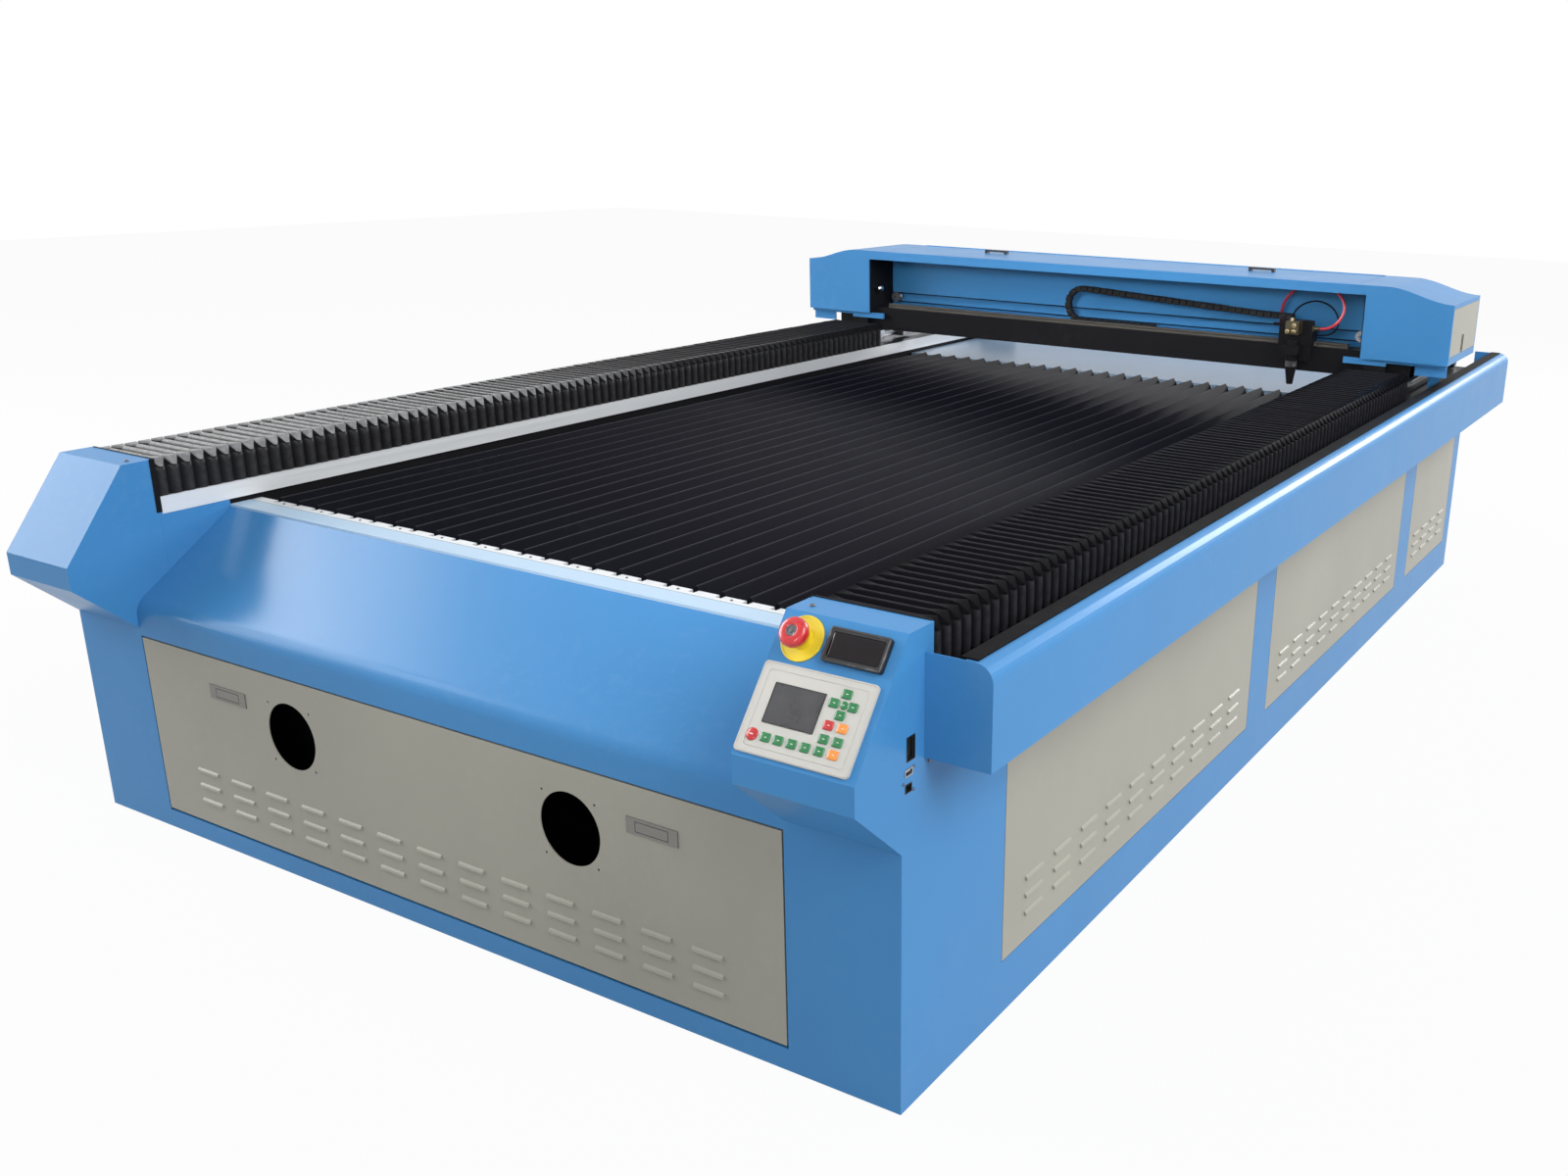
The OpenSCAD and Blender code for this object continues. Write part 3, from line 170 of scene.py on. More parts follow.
# Closed ring: a profile (radius, height), up the outside and down the inside, turned about the third axis
def hoopParts(profile, origin, axes, n=48):
    verts = latheParts(profile, origin, axes, n)[0]
    return verts, [gridFaces(len(profile) + 1, n)[:, ::-1] % len(verts)]


# Tube of radius r: a circle carried square to a path
def tubeParts(path, r, n, aside=(0.0, 1.0, 0.2)):
    t = np.gradient(path, axis=0)
    t /= np.linalg.norm(t, axis=1, keepdims=True)
    ref = np.cross(t, aside)
    u = ref / np.linalg.norm(ref, axis=1, keepdims=True)
    v = np.cross(t, u)
    a = np.linspace(0, 2 * np.pi, n, endpoint=False)
    rings = path[:, None] + r * (np.cos(a)[:, None] * u[:, None] + np.sin(a)[:, None] * v[:, None])
    return rings.reshape(-1, 3), tubeFaces(len(path), n)


# Smooth curve through given points: cubic pieces with each tangent taken from the neighbours
def smoothPath(points, per):
    p = np.asarray(points, float)
    m = np.gradient(p, axis=0)
    t = np.linspace(0, 1, per, endpoint=False)[:, None]
    h = [2 * t ** 3 - 3 * t ** 2 + 1, t ** 3 - 2 * t ** 2 + t, -2 * t ** 3 + 3 * t ** 2, t ** 3 - t ** 2]
    parts = [h[0] * p[i] + h[1] * m[i] + h[2] * p[i + 1] + h[3] * m[i + 1] for i in range(len(p) - 1)]
    return np.concatenate(parts + [p[-1:]])


# Sets a node's inputs, each by a constant or by the socket that leads into it
def feed(tree, sockets, values):
    for label, x in values.items():
        if isinstance(x, (int, float, tuple)):
            sockets[label].default_value = x
        else:
            tree.links.new(x, sockets[label])


def addNode(tree, kind, values):
    node = tree.nodes.new("ShaderNode" + kind)
    feed(tree, node.inputs, values)
    return node


def noiseNode(tree, vector, scale, detail, rough=0.55):
    values = {"Vector": vector, "Scale": scale, "Detail": detail, "Roughness": rough}
    return addNode(tree, "TexNoise", values).outputs["Fac"]


def rangeNode(tree, value, fromLow, fromHigh, low=0.0, high=1.0):
    values = {"Value": value, "From Min": fromLow, "From Max": fromHigh, "To Min": low, "To Max": high}
    return addNode(tree, "MapRange", values).outputs["Result"]


def mathNode(tree, kind, a, b):
    node = addNode(tree, "Math", {0: a, 1: b})
    node.operation = kind
    return node.outputs[0]


def mixColour(tree, factor, a, b):
    node = addNode(tree, "Mix", {})
    node.data_type = "RGBA"
    sockets = {s.name: s for s in node.inputs if s.type == "RGBA" or s.identifier == "Factor_Float"}
    feed(tree, sockets, {"Factor": factor, "A": a, "B": b})
    return [s for s in node.outputs if s.type == "RGBA"][0]


# Colour made darker and lighter along a mask, by as much as spread says
def shadeBy(tree, mask, span, spread, colour):
    low = mathNode(tree, "SUBTRACT", 1.0, spread)
    high = mathNode(tree, "ADD", 1.0, spread)
    values = {"Value": rangeNode(tree, mask, *span, low, high), "Color": colour}
    return addNode(tree, "HueSaturation", values).outputs["Color"]


# Finish group: Vector, Color and the given values go in; Color, Roughness and Height come out
def newGroup(name, values):
    group = bpy.data.node_groups.new(name, "ShaderNodeTree")
    kinds = {"Vector": "NodeSocketVector", "Color": "NodeSocketColor"}
    for label, x in values.items():
        kinds[label] = "NodeSocketColor" if isinstance(x, tuple) else "NodeSocketFloat"
    for label, kind in kinds.items():
        socket = group.interface.new_socket(name=label, in_out="INPUT", socket_type=kind)
        if label in values:
            socket.default_value = values[label]
    results = {"Color": "NodeSocketColor", "Roughness": "NodeSocketFloat", "Height": "NodeSocketFloat"}
    for label, kind in results.items():
        group.interface.new_socket(name=label, in_out="OUTPUT", socket_type=kind)
    return group, group.nodes.new("NodeGroupInput").outputs, group.nodes.new("NodeGroupOutput").inputs


# Noise values are (scale, detail, roughness); spans are what a mask runs from and to
paintLook = {"cloud": (2.2, 4.0), "specks": (46.0, 6.0, 0.7), "patch": (3.7, 2.0), "wander": (9.0, 3.0),
             "middle": (0.3, 0.7), "speckSpan": (0.5, 0.78), "patchSpan": (0.42, 0.7),
             "change": (-0.02, 0.03), "peelDetail": 1.5}


# Painted sheet: slow clouds in the colour, faint dust, orange-peel height and a roughness that wanders
def paintGroup():
    look = paintLook
    g, gi, go = newGroup("paintedSheet", {"Dust": (0.75, 0.74, 0.7, 1), "Dust Amount": 0.12, "Cloud": 0.06,
                                          "Rough": 0.38, "Peel": 380.0})
    vec = gi["Vector"]
    shade = shadeBy(g, noiseNode(g, vec, *look["cloud"]), look["middle"], gi["Cloud"], gi["Color"])
    specks = rangeNode(g, noiseNode(g, vec, *look["specks"]), *look["speckSpan"])
    patches = rangeNode(g, noiseNode(g, vec, *look["patch"]), *look["patchSpan"])
    dust = mathNode(g, "MULTIPLY", mathNode(g, "MULTIPLY", specks, patches), gi["Dust Amount"])
    wander = rangeNode(g, noiseNode(g, vec, *look["wander"]), *look["middle"], *look["change"])
    feed(g, go, {"Color": mixColour(g, dust, shade, gi["Dust"]),
                 "Roughness": mathNode(g, "ADD", gi["Rough"], mathNode(g, "ADD", wander, dust)),
                 "Height": noiseNode(g, vec, gi["Peel"], look["peelDetail"])})
    return g


streakLook = {"lines": (1.0, 5.0, 0.65), "stain": (0.11, 3.0), "middle": (0.3, 0.7), "stainSpan": (0.35, 0.7),
              "lineChange": (-0.06, 0.06), "stainChange": (-0.04, 0.12)}


# Drawn or ground metal: fine streaks along one direction, which the Vector input stretches
def streakGroup():
    look = streakLook
    g, gi, go = newGroup("drawnMetal", {"Rough": 0.3, "Streak": 0.12})
    lines = noiseNode(g, gi["Vector"], *look["lines"])
    stain = noiseNode(g, gi["Vector"], *look["stain"])
    worn = mathNode(g, "ADD", rangeNode(g, lines, *look["middle"], *look["lineChange"]),
                    rangeNode(g, stain, *look["stainSpan"], *look["stainChange"]))
    feed(g, go, {"Color": shadeBy(g, lines, look["middle"], gi["Streak"], gi["Color"]),
                 "Roughness": mathNode(g, "ADD", gi["Rough"], worn), "Height": lines})
    return g


mouldLook = {"marks": (24.0, 5.0, 0.7), "grainDetail": 2.0, "wearSpan": (0.52, 0.75), "middle": (0.3, 0.7),
             "change": (-0.07, 0.1), "worn": (0.5, 0.5, 0.5, 1)}


# Moulded plastic or rubber: fine grain in the height, and a slight change of colour and gloss
def mouldGroup():
    look = mouldLook
    g, gi, go = newGroup("mouldedGrain", {"Rough": 0.45, "Grain": 900.0, "Wear": 0.15})
    marks = noiseNode(g, gi["Vector"], *look["marks"])
    wear = mathNode(g, "MULTIPLY", rangeNode(g, marks, *look["wearSpan"]), gi["Wear"])
    change = rangeNode(g, marks, *look["middle"], *look["change"])
    feed(g, go, {"Color": mixColour(g, wear, gi["Color"], look["worn"]),
                 "Roughness": mathNode(g, "ADD", gi["Rough"], change),
                 "Height": noiseNode(g, gi["Vector"], gi["Grain"], look["grainDetail"])})
    return g


clothLook = {"threads": 260.0, "bend": 0.6, "rub": (60.0, 5.0, 0.7), "ridge": (0.82, 1.0, 0.0, 1.0),
             "rubbingAndGlare": (0.4, 0.62, 0.6, 1.0), "valley": (0.45, 0.8, 0.5, 0.0),
             "wander": (0.3, 0.7, -0.04, 0.06)}


# Coated pleat cloth: crossed threads in the height, ridges made paler by the Fold mask as rubbed wear and
# painted glare, and rougher valleys
def clothGroup():
    look = clothLook
    g, gi, go = newGroup("pleatCloth", {"Fold": 0.0, "Rubbed And Glare": (0.028, 0.028, 0.033, 1), "Rough": 0.45})
    threads = {"Vector": gi["Vector"], "Scale": look["threads"], "Distortion": look["bend"]}
    waves = []
    for direction in ("X", "Z"):
        wave = addNode(g, "TexWave", threads)
        wave.bands_direction = direction
        waves.append(wave.outputs["Fac"])
    rub = noiseNode(g, gi["Vector"], *look["rub"])
    # Paler ridges by the Fold mask: partly rubbed wear, partly painted glare
    ridge = rangeNode(g, gi["Fold"], *look["ridge"])
    edge = mathNode(g, "MULTIPLY", ridge, rangeNode(g, rub, *look["rubbingAndGlare"]))
    wander = mathNode(g, "ADD", rangeNode(g, gi["Fold"], *look["valley"]), rangeNode(g, rub, *look["wander"]))
    feed(g, go, {"Color": mixColour(g, edge, gi["Color"], gi["Rubbed And Glare"]),
                 "Roughness": mathNode(g, "ADD", gi["Rough"], wander), "Height": mathNode(g, "ADD", *waves)})
    return g


finishGroups = {"paint": paintGroup(), "streak": streakGroup(), "mould": mouldGroup(), "cloth": clothGroup()}


# Material: one finish group on Object coordinates, with its constant values on the shader's own sockets;
# zone paints a second colour of painted light by height, and by distance from the middle plane
def makeMaterial(name, kind, colour, group=None, shader=None, bump=(0.1, 0.0004), stretch=None, fold=None,
                 zone=None):
    mat = bpy.data.materials.new(name)
    mat.use_nodes = True
    tree = mat.node_tree
    place = coords = addNode(tree, "TexCoord", {}).outputs["Object"]
    if stretch:
        coords = addNode(tree, "Mapping", {"Vector": place, "Scale": stretch}).outputs["Vector"]
    node = addNode(tree, "Group", {})
    node.node_tree = finishGroups[kind]
    feed(tree, node.inputs, {"Vector": coords, "Color": (*colour, 1), **(group or {})})
    if fold:
        attribute = addNode(tree, "Attribute", {})
        attribute.attribute_name = fold
        feed(tree, node.inputs, {"Fold": attribute.outputs["Fac"]})
    colours = node.outputs["Color"]
    # Painted light: the zone's second colour is painted shade on the foot plates and a painted highlight on
    # the slat tops
    if zone:
        split = addNode(tree, "SeparateXYZ", {"Vector": place}).outputs
        inside = rangeNode(tree, split["Z"], *zone["z"])
        if "x" in zone:
            across = mathNode(tree, "ABSOLUTE", split["X"], 0.0)
            inside = mathNode(tree, "MULTIPLY", inside, rangeNode(tree, across, *zone["x"]))
        colours = mixColour(tree, inside, colours, (*zone["colour"], 1))
    relief = addNode(tree, "Bump", {"Strength": bump[0], "Distance": bump[1],
                                    "Height": node.outputs["Height"]})
    feed(tree, tree.nodes["Principled BSDF"].inputs, {
        "Base Color": colours, "Roughness": node.outputs["Roughness"], "Normal": relief.outputs["Normal"],
        **(shader or {})})
    return mat


# Shader values of a finish: specular level, coat as (weight, roughness), and metallic share
def gloss(spec=None, coat=(None, None), metal=None):
    values = {"Specular IOR Level": spec, "Coat Weight": coat[0], "Coat Roughness": coat[1],
              "Metallic": metal}
    return {label: x for label, x in values.items() if x is not None}


def paint(colour, dust, rough, shader=None, more=None, **rest):
    return dict(kind="paint", colour=colour, group={"Dust Amount": dust, "Rough": rough, **(more or {})},
                shader=shader, **rest)


def metal(colour, rough, share, stretch, bump, streak=0.12):
    return dict(kind="streak", colour=colour, group={"Rough": rough, "Streak": streak},
                shader=gloss(metal=share), stretch=stretch, bump=bump)


def mould(colour, rough, wear, shader=None, **rest):
    return dict(kind="mould", colour=colour, group={"Rough": rough, "Wear": wear}, shader=shader, **rest)


def cloth(colour, rough, rubbedAndGlare, spec):
    return dict(kind="cloth", colour=colour, group={"Rough": rough, "Rubbed And Glare": rubbedAndGlare}, shader=gloss(spec),
                bump=(0.03, 0.0003), fold="foldEdge")


paintBlue = (0.055, 0.23, 0.5)
paintBlack = (0.010, 0.010, 0.012)
keyGloss = gloss(coat=(0.4, 0.08))
finishValues = {
    "bluePaint": paint(paintBlue, 0.04, 0.38, gloss(0.06, (0.24, 0.18)), {"Cloud": 0.04}),
    # Foot plates: blue paint, with black below the end boxes as painted shade under them
    "footPaintAndShade": paint(paintBlue, 0.04, 0.42, gloss(0.06, (0.1, 0.2)), {"Cloud": 0.04},
                       zone={"z": (0.6972, 0.6968), "x": (0.9052, 0.9048), "colour": paintBlack}),
    "beigePaint": paint((0.33, 0.32, 0.272), 0.06, 0.42, gloss(0.15, (0.2, 0.15))),
    "blackPaint": paint(paintBlack, 0.04, 0.4, gloss(0.06), {"Dust": (0.2, 0.2, 0.22, 1)}),
    # Slats: black paint, with a lighter band on the blade tops by height as a painted highlight
    "slatPaint": paint((0.006, 0.006, 0.010), 0.03, 0.34, gloss(0.016), {"Dust": (0.2, 0.2, 0.24, 1)},
                       bump=(0.04, 0.0003), zone={"z": (0.5797, 0.5814), "colour": (0.016, 0.016, 0.022)}),
    "palePlate": paint((0.30, 0.42, 0.56), 0.1, 0.3),
    # Flange band: blue paint made pale as a painted reflection
    "flangePaintAndReflection": paint((0.42, 0.58, 0.74), 0.05, 0.3, more={"Cloud": 0.03}),
    # Electronics case in near black: painted shade for the dark inside seen through the fan openings
    "shadedCase": paint(paintBlack, 0.01, 0.5, gloss(0.05)),
    "aluminium": metal((0.76, 0.78, 0.8), 0.42, 0.35, (1800, 6, 1800), (0.04, 0.0003), 0.05),
    "dullRail": metal((0.085, 0.078, 0.068), 0.45, 0.5, (6, 1800, 1800), (0.06, 0.0003)),
    "latchSteel": metal((0.2, 0.19, 0.178), 0.45, 0.6, (8, 900, 900), (0.05, 0.0002), 0.06),
    "steel": metal((0.42, 0.43, 0.45), 0.3, 1.0, (1500, 8, 1500), (0.06, 0.0002)),
    "darkSteel": metal((0.13, 0.13, 0.14), 0.36, 0.9, (900, 900, 40), (0.05, 0.0002)),
    "chrome": metal((0.78, 0.79, 0.8), 0.16, 1.0, (700, 700, 30), (0.03, 0.0001), 0.04),
    "brass": metal((0.62, 0.5, 0.28), 0.3, 1.0, (900, 40, 900), (0.05, 0.0002)),
    "oldBrass": metal((0.10, 0.085, 0.055), 0.4, 0.8, (900, 40, 900), (0.05, 0.0002)),
    # One pleat cloth in two copies: glossCloth on the left cover has bright painted glare on its ridges and
    # more gloss, bellowsCloth on the right is the shaded copy with painted highlights on its fingers
    "bellowsCloth": cloth((0.006, 0.006, 0.0075), 0.34, (0.036, 0.036, 0.043, 1), 0.004),
    "glossCloth": cloth((0.008, 0.008, 0.0095), 0.28, (0.3, 0.3, 0.305, 1), 0.065),
    "rubber": mould((0.008, 0.008, 0.009), 0.55, 0.03, gloss(0.03)),
    "chainPlastic": mould((0.009, 0.009, 0.010), 0.45, 0.03, gloss(0.18)),
    "blackPlastic": mould((0.01, 0.01, 0.011), 0.35, 0.05),
    "keypadPlastic": mould((0.52, 0.51, 0.475), 0.42, 0.04),
    "screenGlass": mould((0.035, 0.035, 0.04), 0.28, 0.03, gloss(coat=(0.25, 0.1))),
    "greenKey": mould((0.006, 0.17, 0.045), 0.25, 0.03, keyGloss),
    "redKey": mould((0.5, 0.015, 0.018), 0.25, 0.03, keyGloss),
    "amberKey": mould((0.82, 0.27, 0.04), 0.25, 0.03, keyGloss),
    "keyMark": mould((0.75, 0.78, 0.75), 0.4, 0.0),
    "meterWindow": mould((0.006, 0.003, 0.005), 0.1, 0.01, gloss(0.2, (0.2, 0.04)), bump=(0.01, 0.0002)),
    "meterRim": mould((0.03, 0.03, 0.032), 0.38, 0.5),
    "stopYellow": mould((0.72, 0.55, 0.02), 0.38, 0.05),
    "stopRed": mould((0.52, 0.010, 0.014), 0.28, 0.03, gloss(coat=(0.6, 0.12)), bump=(0.03, 0.0003)),
    "hosePlastic": mould((0.5, 0.03, 0.05), 0.22, 0.03, gloss(coat=(0.5, 0.08))),
    "tubeGlass": mould((0.8, 0.86, 0.92), 0.06, 0.0, {"Transmission Weight": 0.9, "IOR": 1.47},
                       bump=(0.01, 0.0002)),
}
finishes = {name: makeMaterial(name, **values) for name, values in finishValues.items()}
print("materials made:", len(finishes))

nodeFinish = {
    "bluePaint": ["front_cabinet", "apron", "console_left", "console_right", "wall_left", "wall_right",
                  "rear_wall", "cable_trough", "back_panel", "hood", "hood_lid", "end_box_left",
                  "end_box_right"],
    "footPaintAndShade": ["foot_plates"],
    "beigePaint": ["panels_left", "panels_right", "front_door", "end_covers"],
    "blackPaint": ["base_frame", "scrap_tray", "rail_beams", "long_motor", "cross_beam", "inner_plates",
                   "cross_motor", "tube_mounts", "head_carriage"],
    "slatPaint": ["slats"],
    "palePlate": ["rear_table"],
    "aluminium": ["bed_strips"],
    "steel": ["long_rails", "drive_shaft", "belt_idlers", "rail_carriages", "drive_pulley", "idler_pulley"],
    "dullRail": ["cross_rail"],
    "latchSteel": ["latch_cases", "latch_left", "latch_right"],
    "oldBrass": ["head_mirror"],
    "rubber": ["trough_strip", "long_belts", "cross_belt"],
    "blackPlastic": ["panel_meter", "side_ports", "lid_handles"],
    "keypadPlastic": ["keypad"],
    "screenGlass": ["keypad_screen"],
    "stopYellow": ["stop_base"],
    "stopRed": ["stop_button"],
    "shadedCase": ["electronics"],
    "tubeGlass": ["laser_tube"],
}
for finish, names in nodeFinish.items():
    for name in names:
        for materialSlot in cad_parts[name].material_slots:
            materialSlot.material = finishes[finish]
print("frame painted")

# Camera from the photograph's solved view: focal length and centre in pixels, place in millimetres
view = {"image": (1600, 1200), "focal": 1490.84, "centre": (991.6, 626.3), "place": (1792.5, -1398.5, 1272.1),
        "yaw": 0.5181, "pitch": -0.3233, "roll": 0.0195, "sensor": 36.0, "far": 60.0}


# Matrix that sets an object's three axes and its place
def placing(axes, place):
    return Matrix([*np.column_stack([*axes, place]).tolist(), [0, 0, 0, 1]])


def placeCamera():
    camera = bpy.data.objects.new("viewCamera", bpy.data.cameras.new("viewCamera"))
    bpy.context.scene.collection.objects.link(camera)
    wide, high = view["image"]
    optics = camera.data
    optics.sensor_fit = "HORIZONTAL"
    optics.sensor_width = view["sensor"]
    optics.lens = view["focal"] / wide * view["sensor"]
    optics.shift_x = (wide / 2 - view["centre"][0]) / wide
    optics.shift_y = (view["centre"][1] - high / 2) / wide
    optics.clip_end = view["far"]
    yaw, pitch, roll = view["yaw"], view["pitch"], view["roll"]
    ahead = np.array([-math.sin(yaw) * math.cos(pitch), math.cos(yaw) * math.cos(pitch), math.sin(pitch)])
    right = np.array([math.cos(yaw), math.sin(yaw), 0.0])
    up = np.cross(right, ahead)
    turnedRight = math.cos(roll) * right + math.sin(roll) * up
    turnedUp = math.cos(roll) * up - math.sin(roll) * right
    camera.matrix_world = placing((turnedRight, turnedUp, -ahead), atFront(view["place"]))
    bpy.context.scene.camera = camera


placeCamera()

# Lamps are (place, target, power, size)
lamps = {"keyLamp": ((5.4, -2.2, 4.4), (0.2, -0.3, 0.4), 350.0, 4.0),
         "windowLamp": ((-6.2, -3.4, 3.1), (-0.6, -1.4, 0.5), 330.0, 4.0),
         "backLamp": ((2.6, 5.8, 2.8), (0.9, 0.0, 0.6), 220.0, 2.2),
         "leftLamp": ((-5.7, -1.6, 4.2), (-0.8, -0.6, 0.6), 90.0, 2.0),
         "gantryLamp": ((0.9, -4.6, 2.0), (-0.05, 1.1, 0.8), 3.6, 1.2)}
studio = {"sky": 0.42, "skyColour": (0.94, 0.97, 1.0, 1), "white": (1, 1, 1, 1), "gantrySpread": 0.4,
          "floorHalf": 14, "floorColour": (0.5, 0.5, 0.5, 1), "floorRough": 0.9, "floorGlow": 0.95}


def aimLamp(name, place, target, power, size):
    lamp = bpy.data.objects.new(name, bpy.data.lights.new(name, "AREA"))
    bpy.context.scene.collection.objects.link(lamp)
    lamp.data.energy = power
    lamp.data.size = size
    back = np.subtract(place, target)
    back /= np.linalg.norm(back)
    side = np.cross([0, 0, 1], back)
    side /= np.linalg.norm(side)
    lamp.matrix_world = placing((side, np.cross(back, side), back), place)


# One for camera, glossy and transmission rays, zero for the rest
def lightPathMask(tree):
    path = addNode(tree, "LightPath", {}).outputs
    first = mathNode(tree, "ADD", path["Is Camera Ray"], path["Is Glossy Ray"])
    return mathNode(tree, "MINIMUM", mathNode(tree, "ADD", first, path["Is Transmission Ray"]), 1.0)


# Mixes two shaders into the tree's end node
def mixShaders(tree, factor, first, second, end):
    mix = addNode(tree, "MixShader", {"Fac": factor, 1: first.outputs[0], 2: second.outputs[0]})
    feed(tree, tree.nodes[end].inputs, {"Surface": mix.outputs["Shader"]})


def makeSky():
    world = bpy.data.worlds.new("studio")
    bpy.context.scene.world = world
    world.use_nodes = True
    tree = world.node_tree
    sky = tree.nodes["Background"]
    feed(tree, sky.inputs, {"Color": studio["skyColour"], "Strength": studio["sky"]})
    white = addNode(tree, "Background", {"Color": studio["white"]})
    mixShaders(tree, lightPathMask(tree), sky, white, "World Output")


# Pale floor that looks nearly white and still keeps the shadow
def makeFloor():
    corners = np.array([[-1, -1, 0], [1, -1, 0], [1, 1, 0], [-1, 1, 0]], float) * studio["floorHalf"]
    mesh = buildMesh("floor", corners, [np.array([[0, 1, 2, 3]])])
    floor = bpy.data.objects.new("floor", mesh)
    bpy.context.scene.collection.objects.link(floor)
    mat = bpy.data.materials.new("paleFloor")
    mat.use_nodes = True
    tree = mat.node_tree
    bsdf = tree.nodes["Principled BSDF"]
    feed(tree, bsdf.inputs, {"Base Color": studio["floorColour"], "Roughness": studio["floorRough"]})
    glow = addNode(tree, "Emission", {"Strength": 1.0})
    share = mathNode(tree, "MULTIPLY", lightPathMask(tree), studio["floorGlow"])
    mixShaders(tree, share, bsdf, glow, "Material Output")
    mesh.materials.append(mat)


makeSky()
makeFloor()
for name, values in lamps.items():
    aimLamp(name, *values)
bpy.data.lights["gantryLamp"].spread = studio["gantrySpread"]
bpy.context.scene.view_settings.view_transform = "Standard"
print("camera and studio ready")

# Cords on the head: route in millimetres from the hose's fitting
cordStart = (585, 2413, 776.97)
airHose = {
    "route": [[63, 19, 0], [83, 19, 3], [102, 21, 14], [116, 25, 34], [120, 30, 57], [111, 37, 78],
              [93, 42, 94], [68, 48, 104], [39, 55, 108], [9, 63, 106], [-19, 71, 97], [-42, 79, 81],
              [-58, 86, 61], [-67, 91, 38], [-69, 93, 17], [-69, 93, -1]],
    "radius": 0.004, "sides": 16, "steps": 5}
sensorCable = {
    "route": [[-34, 66, 4], [-28, 60, 22], [-14, 55, 44], [8, 52, 60], [36, 50, 68], [64, 48, 64],
              [88, 46, 50], [101, 44, 30], [104, 42, 10], [94, 40, -8], [76, 38, -17], [48, 37, -20]],
    "radius": 0.0022, "sides": 10, "steps": 5}


# Cord: a circle carried along a smooth curve through the route's points
def makeCord(name, values, finish, node=None):
    path = atFront(smoothPath(np.array(values["route"], float) + cordStart, values["steps"]))
    tube = tubeParts(path, values["radius"], values["sides"])
    piece = addParts(name, [tube], finish, "head", node)


makeCord("airHose", airHose, "hosePlastic", "air_hose")
makeCord("sensorCable", sensorCable, "rubber")

# wear is how far the cloth is made paler on the near ridges, the far ridges, the mitred ends and the fingers,
# partly rubbed wear and partly painted light: the fade from near to far ridges and the paler mitred ends are
# painted glare, the paler fingers painted highlights
bellows = {"folds": 92, "ridge": 0.0115, "flat": 0.07, "tuck": 0.0045, "uneven": 0.0008, "mitre": 0.44,
           "tip": 0.0145, "inset": [0.006, 0.0, 0.011, 0.034], "gather": 0.009, "pinch": 0.0075,
           "finger": 0.62, "steps": 9, "wall": 0.004, "clear": 0.0012,
           "swell": [0.9, 0.92, 1.0, 1.0, 0.9, 0.6, 0.15], "fromLow": [0, 0.001, 0.012],
           "fromFoot": [-0.012, -0.004, -0.0005, 0.0045, 0.0045], "fingerEdge": 0.82, "fingerPower": 3,
           "travel": 2.05,
           "sides": {"bellowsLeft": ("bellows_left", 3, "glossCloth", (1.26, 0.52, 1.0, 0.02)),
                     "bellowsRight": ("bellows_right", 4, "bellowsCloth", (0.97, 0.97, 0.6, 0.15))}}


